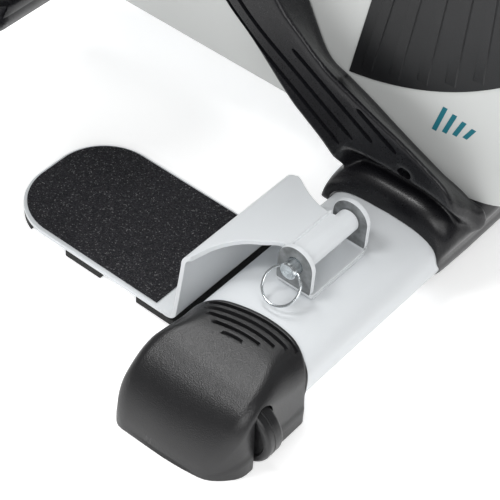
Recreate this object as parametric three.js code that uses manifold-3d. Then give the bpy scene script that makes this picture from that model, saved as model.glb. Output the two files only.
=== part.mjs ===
// Pedal exerciser: a floor-standing crank trainer on two cross tubes, with hinged foot plates.
// Millimetres, +Z up. The origin is on the floor under the middle of the machine.
// +Y points at the seated user, and X runs across the machine along its base tubes.

import * as THREE from "three";
import { mergeVertices } from "three/addons/utils/BufferGeometryUtils.js";
import Module from "manifold-3d";

const wasm = await Module();
wasm.setup();

// ---------------------------------------------------------------- driving dimensions

const GAP = 0.3; // clearance left between pieces that touch

const TUBE = { halfWidth: 40, halfHeight: 20, wall: 2.5, centreZ: 29.8, squareness: 3 };
const FRONT = { y: -177, tubeHalfLength: 231, capNose: 279.4 };
const REAR = { y: 233, tubeHalfLength: 161, capNose: 209.4 };
const CAP = { length: 82, halfWidth: 42, top: 52.4 };
const WHEEL = { radius: 21, width: 13, x: 244, y: -207, z: 21.5, axle: 3, slot: 1.6 };

const SPINE = { halfWidth: 15, bottom: 30, top: 60, wall: 2.5 };
const PLATE_FRAME = { halfThickness: 4, footFront: -100, footRear: 105 };

const HINGE = { y: -176.4, z: 71 }; // axis of the quick-release pin
const BRACKET = { outer: 169.2, inner: 114, halfWidth: 12.4, sheet: 3.5, base: 50.1 };
const FOOT = { outer: 201.5, inner: 106.6, tip: 29, wallY: -115, underside: 5.5, sheet: 3, corner: 38 };
const SLEEVE = { outer: 165, inner: 118.4, radius: 7.2, bore: 5.4 };
const GRIP = { inset: 1.8, start: -101, thickness: 1 };
const BLOCK = { height: 5.2, inset: 0.2 };
const PIN = { radius: 5, headRadius: 6, headEnd: 176.4, tip: 109, ringHoleX: 173, ringHole: 1.8 };
const RING = { radius: 11.85, wire: 0.65, hang: 45 };

const BODY = { halfThickness: 50, wall: 3, edge: 16, lowEdge: 4, underside: 64 };
const CRANK_AXIS = { y: 27, z: 250 };
const CRANK = { length: 105, restAngle: 32.5, shaft: 10, inner: 84, outer: 99 };
const PEDAL = { halfWidth: 48, halfLength: 56, thickness: 20, centreX: 155, tilt: 23 };
const STRAP = { width: 46, sheet: 3, rise: 74, halfSpan: 51, toe: -54 };
const SPINDLE = { radius: 6, tip: 206 };
const BEARING = { outer: 20, width: 12 };
const FLYWHEEL = { y: -110, z: 300, radius: 98, axle: 8 };
const BRAKE = { y: -59, z: 395, pivot: 4 };
const PULLEY = { radius: 92, small: 20, from: 9, to: 19, groove: 3 };

const LEG = { outer: 79, inner: 50.4, hubRadius: 42 };
const COLLAR = { lip: -80, end: -0.2, top: 14, openBelow: 32 };
const COLLAR_FLARE = { back: 0.15, front: 0.03, shoulder: 0.16 };
const LEG_SCREW = { y: -185, z: 86, radius: 3.8, hole: 4.5, depth: 66 };
const CONSOLE = { y: 89.4, z: 403.1, slope: 48.2, halfWidth: 41, halfLength: 66, height: 16 };
const DISPLAY = { halfWidth: 30, y0: -54, y1: -12, glass: 2 };
const BUTTON = { x: 20, y: 4, radius: 7, pocket: 7, proud: 2.5 };
const KNOB = { y: 38, radius: 17, height: 17, shaft: 4 };
const HANDLE = { radius: 11, front: -150, rear: -10, top: 528, bend: 36, foot: 430.3 };

const radians = THREE.MathUtils.degToRad;

// Turns an outline drawn in (y, z) and extruded forward so that it runs along X.
const ALONG_X = new THREE.Matrix4().makeBasis(
  new THREE.Vector3(0, 1, 0),
  new THREE.Vector3(0, 0, 1),
  new THREE.Vector3(1, 0, 0),
);

// ---------------------------------------------------------------- materials

function finish(color, roughness, metalness = 0) {
  return new THREE.MeshStandardMaterial({ color, roughness, metalness });
}

const paint = finish(0xd7dbde, 0.45, 0.1);
const shell = finish(0xcfd0ce, 0.5);
const blackPlastic = finish(0x2c2c2e, 0.55);
const glossBlack = finish(0x1c1c1e, 0.3);
const rubber = finish(0x151515, 0.9);
const gritSheet = finish(0x26262a, 0.95);
const zinc = finish(0xc3c9cc, 0.25, 0.9);
const steel = finish(0x9a9da0, 0.35, 0.9);
const castIron = finish(0x55585a, 0.6, 0.7);
const webbing = finish(0x2b2b2e, 0.9);
const displayGlass = finish(0x30383a, 0.1);

// ---------------------------------------------------------------- shape helpers

// A geometry with only its corners left, and shared corners merged, as a closed solid needs.
function welded(geometry) {
  const bare = geometry.clone();
  bare.deleteAttribute("normal");
  bare.deleteAttribute("uv");
  return mergeVertices(bare, 1e-4);
}

function toSolid(geometry) {
  const bare = welded(geometry);
  return new wasm.Manifold(
    new wasm.Mesh({
      numProp: 3,
      vertProperties: new Float32Array(bare.attributes.position.array),
      triVerts: new Uint32Array(bare.index.array),
    }),
  );
}

function fromSolid(solid) {
  const mesh = solid.getMesh();
  const geometry = new THREE.BufferGeometry();
  geometry.setAttribute("position", new THREE.BufferAttribute(new Float32Array(mesh.vertProperties), 3));
  geometry.setIndex(new THREE.BufferAttribute(new Uint32Array(mesh.triVerts), 1));
  return geometry;
}

function cut(geometry, ...tools) {
  return fromSolid(tools.reduce((left, tool) => left.subtract(toSolid(tool)), toSolid(geometry)));
}

function join(geometry, ...others) {
  return fromSolid(others.reduce((all, other) => all.add(toSolid(other)), toSolid(geometry)));
}

function common(geometry, other) {
  return fromSolid(toSolid(geometry).intersect(toSolid(other)));
}

function mirrored(geometry) {
  const copy = welded(geometry);
  copy.scale(-1, 1, 1);
  const index = copy.index.array;
  for (let i = 0; i < index.length; i += 3) {
    [index[i], index[i + 1]] = [index[i + 1], index[i]];
  }
  return copy;
}

function shapeOf(points, holes = []) {
  const shape = new THREE.Shape(points.map(([a, b]) => new THREE.Vector2(a, b)));
  shape.holes = holes.map((hole) => new THREE.Path(hole.map(([a, b]) => new THREE.Vector2(a, b))));
  return shape;
}

// Points on a circle's arc, in degrees, both ends included.
function arc(centreA, centreB, radius, from, to, steps = 8) {
  return Array.from({ length: steps + 1 }, (_, i) => {
    const angle = radians(from + ((to - from) * i) / steps);
    return [centreA + radius * Math.cos(angle), centreB + radius * Math.sin(angle)];
  });
}

function roundedRectangle(a0, b0, a1, b1, radius, steps = 5) {
  return [
    ...arc(a1 - radius, b0 + radius, radius, -90, 0, steps),
    ...arc(a1 - radius, b1 - radius, radius, 0, 90, steps),
    ...arc(a0 + radius, b1 - radius, radius, 90, 180, steps),
    ...arc(a0 + radius, b0 + radius, radius, 180, 270, steps),
  ];
}

// The flat-oval section of the base tubes, grown outward by an offset.
function flatOval(centreY, centreZ, grow = 0, count = 28) {
  const bend = (value) => Math.sign(value) * Math.abs(value) ** (2 / TUBE.squareness);
  return Array.from({ length: count }, (_, i) => {
    const angle = (2 * Math.PI * i) / count;
    const y = centreY + (TUBE.halfWidth + grow) * bend(Math.cos(angle));
    const z = centreZ + (TUBE.halfHeight + grow) * bend(Math.sin(angle));
    return [y, z];
  });
}

function extruded(shape, depth) {
  return new THREE.ExtrudeGeometry(shape, { depth, bevelEnabled: false });
}

// Extrudes an outline drawn in (y, z) from x0 to x1.
function alongX(shape, x0, x1) {
  return extruded(shape, x1 - x0).applyMatrix4(ALONG_X).translate(x0, 0, 0);
}

// Extrudes an outline drawn in (x, z) from y0 to y1.
function alongY(shape, y0, y1) {
  return extruded(shape, y1 - y0).rotateX(Math.PI / 2).translate(0, y1, 0);
}

// Extrudes an outline drawn in (x, y) from z0 to z1.
function alongZ(shape, z0, z1) {
  return extruded(shape, z1 - z0).translate(0, 0, z0);
}

function rodX(radius, x0, x1, y, z, sides = 20) {
  const geometry = new THREE.CylinderGeometry(radius, radius, x1 - x0, sides);
  return geometry.rotateZ(Math.PI / 2).translate((x0 + x1) / 2, y, z);
}

function rodZ(radius, z0, z1, x, y, sides = 20) {
  const geometry = new THREE.CylinderGeometry(radius, radius, z1 - z0, sides);
  return geometry.rotateX(Math.PI / 2).translate(x, y, (z0 + z1) / 2);
}

function box(x0, x1, y0, y1, z0, z1) {
  const geometry = new THREE.BoxGeometry(x1 - x0, y1 - y0, z1 - z0);
  return geometry.translate((x0 + x1) / 2, (y0 + y1) / 2, (z0 + z1) / 2);
}

// Turns a profile of [radius, x] pairs about the line through (y, z) parallel to X.
function turnedX(profile, y, z, sides = 24) {
  const points = profile.map(([radius, x]) => new THREE.Vector2(radius, x));
  return new THREE.LatheGeometry(points, sides).rotateZ(-Math.PI / 2).translate(0, y, z);
}

// Skins a row of sections, each a list of [y, z] at its own x, into one closed solid.
function loftX(sections) {
  const count = sections[0].outline.length;
  const positions = sections.flatMap(({ x, outline }) => outline.flatMap(([y, z]) => [x, y, z]));
  const index = [];
  for (let s = 0; s + 1 < sections.length; s += 1) {
    for (let i = 0; i < count; i += 1) {
      const a = s * count + i;
      const b = s * count + ((i + 1) % count);
      index.push(a, a + count, b, b, a + count, b + count);
    }
  }
  const flat = (section) => section.outline.map(([y, z]) => new THREE.Vector2(y, z));
  const last = (sections.length - 1) * count;
  for (const [a, b, c] of THREE.ShapeUtils.triangulateShape(flat(sections[0]), [])) {
    index.push(a, b, c);
  }
  for (const [a, b, c] of THREE.ShapeUtils.triangulateShape(flat(sections.at(-1)), [])) {
    index.push(last + a, last + c, last + b);
  }
  const geometry = new THREE.BufferGeometry();
  geometry.setAttribute("position", new THREE.Float32BufferAttribute(positions, 3));
  geometry.setIndex(index);
  return facingOut(geometry);
}

function facingOut(geometry) {
  const p = geometry.attributes.position;
  const index = geometry.index.array;
  const corner = [new THREE.Vector3(), new THREE.Vector3(), new THREE.Vector3()];
  let volume = 0;
  for (let i = 0; i < index.length; i += 3) {
    corner.forEach((v, k) => v.fromBufferAttribute(p, index[i + k]));
    volume += corner[0].dot(corner[1].clone().cross(corner[2]));
  }
  if (volume < 0) {
    for (let i = 0; i < index.length; i += 3) {
      [index[i], index[i + 1]] = [index[i + 1], index[i]];
    }
  }
  return geometry;
}

// ---------------------------------------------------------------- scene graph helpers

const machine = new THREE.Group();

function add(name, geometry, material, parent = machine) {
  const mesh = new THREE.Mesh(geometry, material);
  mesh.name = name;
  parent.add(mesh);
  return mesh;
}

// The left copy is the geometry as drawn on the -X side, and the right copy is its mirror image.
function addPair(name, geometry, material) {
  add(`${name}_left`, geometry, material);
  add(`${name}_right`, mirrored(geometry), material);
}

// ---------------------------------------------------------------- base tubes and spine

function baseTube({ y, tubeHalfLength }) {
  const outer = flatOval(y, TUBE.centreZ);
  const inner = flatOval(y, TUBE.centreZ, -TUBE.wall);
  return alongX(shapeOf(outer, [inner]), -tubeHalfLength, tubeHalfLength);
}

add("front_base_tube", baseTube(FRONT), paint);
add("rear_base_tube", baseTube(REAR), paint);

function spineBeam() {
  const { halfWidth, bottom, top, wall } = SPINE;
  const outer = roundedRectangle(-halfWidth, bottom, halfWidth, top, 5, 3);
  const inner = roundedRectangle(-halfWidth + wall, bottom + wall, halfWidth - wall, top - wall, 2, 3);
  const beam = alongY(shapeOf(outer, [inner]), FRONT.y, REAR.y);
  const clearance = 0.4;
  const tubes = [FRONT, REAR].map(({ y }) =>
    alongX(shapeOf(flatOval(y, TUBE.centreZ, clearance)), -SPINE.halfWidth - 5, SPINE.halfWidth + 5),
  );
  const middle = box(-40, 40, FRONT.y + 20, REAR.y - 20, 0, 60);
  return common(cut(beam, ...tubes), middle);
}

add("spine_beam", spineBeam(), paint);

// ---------------------------------------------------------------- end caps and wheels

// One cross-section of a cap: flat on the floor, upright sides, rounded shoulders.
function capSection(x, halfWidth, height, y) {
  const shoulder = Math.min(19, height - 1);
  return {
    x,
    outline: [
      [y - halfWidth, 0],
      [y + halfWidth, 0],
      ...arc(y + halfWidth - shoulder, height - shoulder, shoulder, 0, 90, 6),
      ...arc(y - halfWidth + shoulder, height - shoulder, shoulder, 90, 180, 6),
    ],
  };
}

function endCap({ y, tubeHalfLength, capNose }) {
  const rim = -capNose + CAP.length;
  const nose = [
    [36, 52.2, 42],
    [29, 50, 42],
    [19, 43.5, 41.5],
    [11, 33, 40],
    [4.5, 18, 36.5],
    [0, 4, 30],
  ];
  const sections = [
    capSection(rim, CAP.halfWidth, CAP.top, y),
    ...nose.map(([fromNose, height, halfWidth]) => capSection(-capNose + fromNose, halfWidth, height, y)),
  ];
  const socket = alongX(shapeOf(flatOval(y, TUBE.centreZ, GAP)), -tubeHalfLength - GAP, rim + 5);
  return cut(loftX(sections), socket);
}

function wheelSlot() {
  const half = WHEEL.width / 2 + WHEEL.slot;
  const back = WHEEL.y + WHEEL.radius + WHEEL.slot;
  const top = WHEEL.z + WHEEL.radius + WHEEL.slot;
  return box(-WHEEL.x - half, -WHEEL.x + half, WHEEL.y - WHEEL.radius - 5, back, -5, top);
}

function frontCap() {
  const axleHole = rodX(WHEEL.axle + GAP, -WHEEL.x - 12, -WHEEL.x + 12, WHEEL.y, WHEEL.z);
  return cut(endCap(FRONT), wheelSlot(), axleHole);
}

addPair("front_end_cap", frontCap(), blackPlastic);
addPair("rear_end_cap", endCap(REAR), blackPlastic);

function transportWheel() {
  const half = WHEEL.width / 2;
  const bore = WHEEL.axle + GAP;
  const profile = [
    [bore, -half],
    [WHEEL.radius - 2, -half],
    [WHEEL.radius, -half + 2],
    [WHEEL.radius, half - 2],
    [WHEEL.radius - 2, half],
    [bore, half],
    [bore, -half],
  ];
  return turnedX(profile, WHEEL.y, WHEEL.z).translate(-WHEEL.x, 0, 0);
}

addPair("transport_wheel", transportWheel(), blackPlastic);
addPair("wheel_axle", rodX(WHEEL.axle, -WHEEL.x - 11, -WHEEL.x + 11, WHEEL.y, WHEEL.z), zinc);

// ---------------------------------------------------------------- foot plates and their hinges

function hingeBracket() {
  const { outer, inner, halfWidth, sheet, base } = BRACKET;
  const ear = shapeOf([
    [HINGE.y + halfWidth, base],
    ...arc(HINGE.y, HINGE.z, halfWidth, 0, 180, 12),
    [HINGE.y - halfWidth, base],
  ]);
  const strip = box(-outer + 1, -inner - 1, HINGE.y - halfWidth, HINGE.y + halfWidth, base, base + sheet);
  const ears = [alongX(ear, -outer, -outer + sheet), alongX(ear, -inner - sheet, -inner)];
  const pinHole = rodX(PIN.radius + GAP, -outer - 5, -inner + 5, HINGE.y, HINGE.z);
  return cut(join(strip, ...ears), pinHole);
}

addPair("hinge_bracket", hingeBracket(), paint);

// The plate's plan outline: square at the tube end, rounded at the tip, shrunk by an inset.
function footOutline(start, inset) {
  const left = -FOOT.outer + inset;
  const right = -FOOT.inner - inset;
  const tip = FOOT.tip - inset;
  const radius = FOOT.corner - inset;
  return [
    [left, start],
    [right, start],
    ...arc(right - radius, tip - radius, radius, 0, 90, 8),
    ...arc(left + radius, tip - radius, radius, 90, 180, 8),
  ];
}

// The sheet that rises from the plate and curves over the tube, drawn in (y, z).
function saddleProfile() {
  const top = FOOT.underside + FOOT.sheet;
  const outside = [
    [FOOT.wallY + 10, top],
    ...arc(FOOT.wallY + 5, top + 5, 5, 270, 188, 4),
    ...arc(FOOT.wallY - 15, 57, 10, 8, 75, 6),
    [-150, 74.4],
    [HINGE.y + 1, HINGE.z + SLEEVE.radius],
  ];
  const inside = [
    [HINGE.y + 1, HINGE.z + SLEEVE.radius - FOOT.sheet],
    [-149, 74.4 - FOOT.sheet],
    ...arc(FOOT.wallY - 15, 57, 10 - FOOT.sheet, 75, 8, 6),
    ...arc(FOOT.wallY + 5, top + 5, 5 + FOOT.sheet, 188, 270, 4),
    [FOOT.wallY + 10, FOOT.underside],
  ];
  return [...outside, ...inside];
}

// Plan outline that narrows the curved sheet from the plate's width to the hinge sleeve.
function saddlePlan() {
  return [
    [-FOOT.outer, FOOT.wallY + 12],
    [-FOOT.outer, -124],
    [-195, -128],
    [-185, -135],
    [-178, -143],
    [-173, -151],
    [-169, -158],
    [-164, -163],
    [-164, -190],
    [-124, -190],
    [-124, -162],
    [-121, -153],
    [-117, -145],
    [-112, -137],
    [-FOOT.inner, -131],
    [-FOOT.inner, FOOT.wallY + 12],
  ];
}

function footPlate() {
  const plate = alongZ(shapeOf(footOutline(FOOT.wallY + 8, 0)), FOOT.underside, FOOT.underside + FOOT.sheet);
  const strip = alongX(shapeOf(saddleProfile()), -FOOT.outer, -FOOT.inner);
  const saddle = common(strip, alongZ(shapeOf(saddlePlan()), -1, 100));
  const sleeve = rodX(SLEEVE.radius, -SLEEVE.outer, -SLEEVE.inner, HINGE.y, HINGE.z);
  const bore = rodX(SLEEVE.bore, -SLEEVE.outer - 5, -SLEEVE.inner + 5, HINGE.y, HINGE.z);
  return cut(join(plate, saddle, sleeve), bore);
}

addPair("foot_plate", footPlate(), paint);

const gripUnderside = FOOT.underside + FOOT.sheet + GAP;
addPair(
  "grip_sheet",
  alongZ(shapeOf(footOutline(GRIP.start, GRIP.inset)), gripUnderside, gripUnderside + GRIP.thickness),
  gritSheet,
);

function rubberBlock(y0, y1) {
  const outline = alongZ(shapeOf(footOutline(-140, BLOCK.inset)), 0, BLOCK.height);
  return common(outline, box(-FOOT.outer, -FOOT.inner, y0, y1, -1, BLOCK.height + 1));
}

addPair("tip_block", rubberBlock(3, 30), rubber);
addPair("middle_block", rubberBlock(-57, -28), rubber);
addPair("heel_block", rubberBlock(-131, -86), rubber);

function quickPin() {
  const shank = rodX(PIN.radius, -PIN.headEnd + 4, -PIN.tip, HINGE.y, HINGE.z);
  const head = rodX(PIN.headRadius, -PIN.headEnd, -BRACKET.outer - GAP, HINGE.y, HINGE.z);
  const crossHole = new THREE.CylinderGeometry(PIN.ringHole, PIN.ringHole, 20, 16);
  crossHole.translate(-PIN.ringHoleX, HINGE.y, HINGE.z);
  return cut(join(shank, head), crossHole);
}

function pinRing() {
  const ring = new THREE.TorusGeometry(RING.radius, RING.wire, 5, 24);
  const fromHole = RING.radius - 0.8;
  ring.rotateY(Math.PI / 2).translate(0, 0, -fromHole).rotateY(radians(RING.hang));
  return ring.translate(-PIN.ringHoleX, HINGE.y, HINGE.z);
}

addPair("quick_pin", quickPin(), zinc);
addPair("pin_ring", pinRing(), zinc);

// ---------------------------------------------------------------- leg shrouds

// The side outline of a leg shroud. The outer face and the face on the housing share one layout.
function legOutline(upper, lower, hubRadius) {
  return [
    ...lower,
    ...arc(CRANK_AXIS.y, CRANK_AXIS.z, hubRadius, -50, 149, 10),
    ...upper,
  ];
}

function legArm() {
  const outerFace = legOutline(
    [[-42, 222], [-62, 190], [-82, 159], [-102, 144], [-122, 129], [-141, 121], [-160, 115],
      [-180, 108], [-199, 99], [-214, 88], [-223, 73], [-224, 55], [-215, 40]],
    [[-145, 40], [-139, 58], [-123, 74], [-96, 94], [-66, 119], [-43, 138], [-12, 165]],
    LEG.hubRadius,
  );
  const shoulder = legOutline(
    [[-46, 217], [-66, 182], [-85, 152], [-104, 127], [-122, 118], [-141, 111], [-160, 103],
      [-180, 95], [-199, 86], [-215, 76], [-227, 66], [-230, 52], [-218, 38]],
    [[-142, 36], [-136, 55], [-120, 72], [-93, 91], [-63, 116], [-40, 135], [-9, 162]],
    LEG.hubRadius + 3,
  );
  const onHousing = legOutline(
    [[-48, 212], [-68, 178], [-87, 145], [-105, 115], [-122, 107], [-141, 99], [-160, 90],
      [-180, 81], [-199, 73], [-216, 66], [-229, 63], [-234, 50], [-220, 36]],
    [[-140, 34], [-134, 52], [-118, 69], [-91, 88], [-61, 113], [-38, 132], [-7, 159]],
    LEG.hubRadius + 3,
  );
  return loftX([
    { x: -LEG.outer, outline: outerFace },
    { x: -LEG.outer + 10, outline: shoulder },
    { x: -LEG.inner, outline: onHousing },
  ]);
}

// The sleeve of the shroud over the base tube: thick on top, thin below, open low at the back.
function legCollar() {
  const section = (x, swell) => ({
    x,
    outline: flatOval(0, 0).map(([y, z]) => {
      const over = Math.max(0, z) / TUBE.halfHeight;
      const shoulder = COLLAR_FLARE.shoulder * swell * Math.min(1, 2 * over);
      const flare = y > 0 ? COLLAR_FLARE.back : COLLAR_FLARE.front + shoulder;
      return [FRONT.y + y * (1 + flare), TUBE.centreZ + z * 1.08 + swell * COLLAR.top * over];
    }),
  });
  const { lip, end, openBelow } = COLLAR;
  const sleeve = loftX([section(lip, 0.25), section(lip + 3, 0.75), section(lip + 8, 1), section(end, 1)]);
  const openBack = box(lip - 10, 1, FRONT.y + 30, 0, 0, openBelow);
  const spineSpace = box(-SPINE.halfWidth - GAP, 1, FRONT.y + 10, 0, SPINE.bottom - GAP, SPINE.top + 10);
  return cut(sleeve, openBack, spineSpace);
}

function legShroud() {
  const tubeHole = alongX(shapeOf(flatOval(FRONT.y, TUBE.centreZ, GAP)), -90, 1);
  const shaftHole = rodX(CRANK.shaft + 1, -90, -40, CRANK_AXIS.y, CRANK_AXIS.z);
  const screwHole = rodX(LEG_SCREW.hole, -90, -LEG_SCREW.depth, LEG_SCREW.y, LEG_SCREW.z);
  const housingSpace = box(-LEG.inner, 1, -300, 200, BODY.underside - GAP, 400);
  return cut(join(legArm(), legCollar()), tubeHole, shaftHole, screwHole, housingSpace);
}

addPair("leg_shroud", legShroud(), glossBlack);

function legScrew() {
  const { radius, depth, y, z } = LEG_SCREW;
  return rodX(radius, -depth - 6, -depth - GAP, y, z);
}

addPair("leg_screw", legScrew(), zinc);

// ---------------------------------------------------------------- housing

// Side outline of the housing, in (y, z), counter-clockwise from the underside.
// It is drawn inward by one inset along the top and by another along the underside.
function housingOutline(inset, lowInset = inset) {
  const corner = (y, z, radius, from, to, insetFrom, insetTo, steps) =>
    Array.from({ length: steps + 1 }, (_, i) => {
      const part = i / steps;
      const angle = radians(from + (to - from) * part);
      const reach = radius - insetFrom - (insetTo - insetFrom) * part;
      return [y + reach * Math.cos(angle), z + reach * Math.sin(angle)];
    });
  return [
    ...corner(110, BODY.underside + 40, 40, -90, 0, lowInset, inset, 5),
    ...arc(118, 325, 30 - inset, 0, 90 - CONSOLE.slope, 3),
    ...arc(8, 434, 40 - inset, 90 - CONSOLE.slope, 92, 4),
    ...arc(-80, 279.5, 194.5 - inset, 94, 176, 11),
    ...corner(-214, BODY.underside + 61, 61, 182, 270, inset, lowInset, 6),
  ];
}

function housingHalf() {
  const turns = [0, 22.5, 45, 67.5, 90];
  const rounded = loftX([
    ...turns.map((turn) => {
      const share = 1 - Math.sin(radians(turn));
      return {
        x: -BODY.halfThickness + BODY.edge * (1 - Math.cos(radians(turn))),
        outline: housingOutline(BODY.edge * share, BODY.lowEdge * share),
      };
    }),
    { x: 0, outline: housingOutline(0) },
  ]);
  const inside = BODY.halfThickness - BODY.wall;
  const cavity = loftX([
    { x: -inside, outline: housingOutline(BODY.edge + 2, BODY.lowEdge + 2) },
    { x: -inside + 8, outline: housingOutline(7, 4) },
    { x: -inside + 18, outline: housingOutline(BODY.wall) },
    { x: 5, outline: housingOutline(BODY.wall) },
  ]);
  const leftSide = box(-60, -GAP / 2, -320, 320, 0, 600);
  const shaftHole = rodX(CRANK.shaft + 3, -60, -40, CRANK_AXIS.y, CRANK_AXIS.z);
  const { halfThickness, footFront, footRear } = PLATE_FRAME;
  const frameSlot = box(-halfThickness - GAP, 5, footFront - 10, footRear + 1, 50, 80);
  const handleHoles = [HANDLE.front, HANDLE.rear].map((y) =>
    rodZ(HANDLE.radius + GAP, 430, 510, 0, y, 28),
  );
  return common(cut(rounded, cavity, shaftHole, frameSlot, ...handleHoles), leftSide);
}

addPair("housing", housingHalf(), shell);

// The dark ribbed panel on each side: a fan with an arc for its lower edge.
function ribbedPanel() {
  const outline = [
    ...arc(-87, 317, 210, 261, 226, 8),
    ...arc(-80, 279.5, 168, 205, 122, 8),
  ];
  return alongX(shapeOf(outline), -BODY.halfThickness - 1.8, -BODY.halfThickness - GAP);
}

addPair("ribbed_panel", ribbedPanel(), blackPlastic);

// ---------------------------------------------------------------- inner frame and drive

function innerFrame() {
  const { halfThickness, footFront, footRear } = PLATE_FRAME;
  const plate = shapeOf([
    [footFront, SPINE.top + GAP],
    [footRear, SPINE.top + GAP],
    [80, 160],
    [80, 300],
    [20, 430],
    [-160, 430],
    [-180, 300],
    [-150, 220],
  ]);
  const bracketShell = rodX(BEARING.outer + 6, -44, halfThickness, CRANK_AXIS.y, CRANK_AXIS.z);
  const bracketBore = rodX(BEARING.outer + GAP, -50, 10, CRANK_AXIS.y, CRANK_AXIS.z);
  const flywheelAxle = rodX(FLYWHEEL.axle, 0, 40, FLYWHEEL.y, FLYWHEEL.z);
  const brakePivot = rodX(BRAKE.pivot, 0, 40, BRAKE.y, BRAKE.z);
  const body = join(alongX(plate, -halfThickness, halfThickness), bracketShell, flywheelAxle, brakePivot);
  return cut(body, bracketBore);
}

add("inner_frame", innerFrame(), steel);

function bearing(x) {
  const bore = CRANK.shaft + 0.1;
  const half = BEARING.width / 2;
  const { outer } = BEARING;
  const profile = [[bore, -half], [outer, -half], [outer, half], [bore, half], [bore, -half]];
  return turnedX(profile, CRANK_AXIS.y, CRANK_AXIS.z).translate(x, 0, 0);
}

add("outer_bearing", bearing(-37), steel);
add("inner_bearing", bearing(-2), steel);

add("crank_shaft", rodX(CRANK.shaft, -CRANK.outer, CRANK.outer, CRANK_AXIS.y, CRANK_AXIS.z), steel);

// A belt pulley as a turned profile: hub, web and grooved rim, between x from and x to.
function pulleyProfile(radius, bore) {
  const { from, to, groove } = PULLEY;
  const lip = 2.4;
  return [
    [bore, from],
    [radius, from],
    [radius, from + lip],
    [radius - groove, from + lip],
    [radius - groove, to - lip],
    [radius, to - lip],
    [radius, to],
    [bore, to],
    [bore, from],
  ];
}

const drivePulley = turnedX(pulleyProfile(PULLEY.radius, CRANK.shaft + GAP), CRANK_AXIS.y, CRANK_AXIS.z, 36);
add("drive_pulley", drivePulley, blackPlastic);

function flywheel() {
  const bore = FLYWHEEL.axle + GAP;
  const { groove, from, small, to } = PULLEY;
  const profile = [
    ...pulleyProfile(small, bore).slice(0, 7),
    [small, 26],
    [FLYWHEEL.radius - 16, 26],
    [FLYWHEEL.radius - 16, 22],
    [FLYWHEEL.radius, 22],
    [FLYWHEEL.radius, 36],
    [FLYWHEEL.radius - 16, 36],
    [FLYWHEEL.radius - 16, 32],
    [small, 32],
    [small, 36],
    [bore, 36],
    [bore, from],
  ];
  return turnedX(profile, FLYWHEEL.y, FLYWHEEL.z, 28);
}

add("flywheel", flywheel(), castIron);

// An open loop round both pulleys: two arcs joined by the two outer tangents.
function beltLoop(large, small) {
  const run = [FLYWHEEL.y - CRANK_AXIS.y, FLYWHEEL.z - CRANK_AXIS.z];
  const bearingAngle = THREE.MathUtils.radToDeg(Math.atan2(run[1], run[0]));
  const wrap = THREE.MathUtils.radToDeg(Math.acos((large - small) / Math.hypot(...run)));
  return [
    ...arc(CRANK_AXIS.y, CRANK_AXIS.z, large, bearingAngle + wrap, bearingAngle + 360 - wrap, 24),
    ...arc(FLYWHEEL.y, FLYWHEEL.z, small, bearingAngle - wrap, bearingAngle + wrap, 8),
  ];
}

function driveBelt() {
  const { radius, small, groove, from, to } = PULLEY;
  const slack = 0.5;
  const inner = beltLoop(radius - groove + slack, small - groove + slack);
  const outer = beltLoop(radius + slack, small + slack);
  return alongX(shapeOf(outer, [inner]), from + 2.8, to - 2.8);
}

add("drive_belt", driveBelt(), rubber);

// The magnet carrier over the flywheel rim, hung on its own pivot.
function brakeArm() {
  const outline = [
    ...arc(FLYWHEEL.y, FLYWHEEL.z, FLYWHEEL.radius + 5, 62, 112, 8),
    ...arc(FLYWHEEL.y, FLYWHEEL.z, FLYWHEEL.radius + 17, 112, 62, 8),
  ];
  const lobe = rodX(9, 24, 34, BRAKE.y, BRAKE.z);
  const bore = rodX(BRAKE.pivot + GAP, 10, 45, BRAKE.y, BRAKE.z);
  return cut(join(alongX(shapeOf(outline), 24, 34), lobe), bore);
}

add("brake_arm", brakeArm(), steel);

// ---------------------------------------------------------------- cranks and pedals

const pedalOffset = {
  y: CRANK.length * Math.sin(radians(CRANK.restAngle)),
  z: -CRANK.length * Math.cos(radians(CRANK.restAngle)),
};

function crankArm() {
  const axis = [CRANK_AXIS.y, CRANK_AXIS.z];
  const eye = [axis[0] + pedalOffset.y, axis[1] + pedalOffset.z];
  const lean = -90 + CRANK.restAngle;
  const outline = [
    ...arc(...axis, 22, lean + 86, lean + 274, 16),
    ...arc(...eye, 15, lean - 86, lean + 86, 12),
  ];
  const arm = alongX(shapeOf(outline), -CRANK.outer, -CRANK.inner);
  const shaftBore = rodX(CRANK.shaft + GAP, -120, -70, ...axis);
  const eyeBore = rodX(SPINDLE.radius + GAP, -120, -70, ...eye);
  return cut(arm, shaftBore, eyeBore);
}

function pedalSpindle() {
  const y = CRANK_AXIS.y + pedalOffset.y;
  const z = CRANK_AXIS.z + pedalOffset.z;
  return rodX(SPINDLE.radius, -SPINDLE.tip, -CRANK.inner, y, z);
}

// The platform in its own frame: spindle through the origin, toe towards -Y, sole on +Z.
function pedalBody() {
  const { halfWidth, halfLength, thickness } = PEDAL;
  const sole = roundedRectangle(-halfWidth, -halfLength, halfWidth, halfLength, 18, 4);
  const deck = alongZ(shapeOf(sole), -thickness / 2, thickness / 2);
  const rimHeight = 9;
  const well = roundedRectangle(-halfWidth + 6, -halfLength + 6, halfWidth - 6, halfLength + 30, 12, 4);
  const rim = alongZ(shapeOf(sole), thickness / 2 - 1, thickness / 2 + rimHeight);
  const hollow = alongZ(shapeOf(well), thickness / 2, thickness);
  const bore = rodX(SPINDLE.radius + 0.4, -halfWidth - 5, halfWidth + 5, 0, 0);
  return cut(join(deck, rim), hollow, bore);
}

// Half of a squared-off arch in (x, z), from the right foot over the top to the left foot.
function archLine(halfSpan, rise, foot) {
  const bend = (value) => Math.sign(value) * Math.abs(value) ** (2 / 2.6);
  const steps = 14;
  const over = Array.from({ length: steps + 1 }, (_, i) => {
    const angle = (Math.PI * i) / steps;
    return [halfSpan * bend(Math.cos(angle)), 8 + (rise - 8) * bend(Math.sin(angle))];
  });
  return [[halfSpan, foot], ...over, [-halfSpan, foot]];
}

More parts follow.
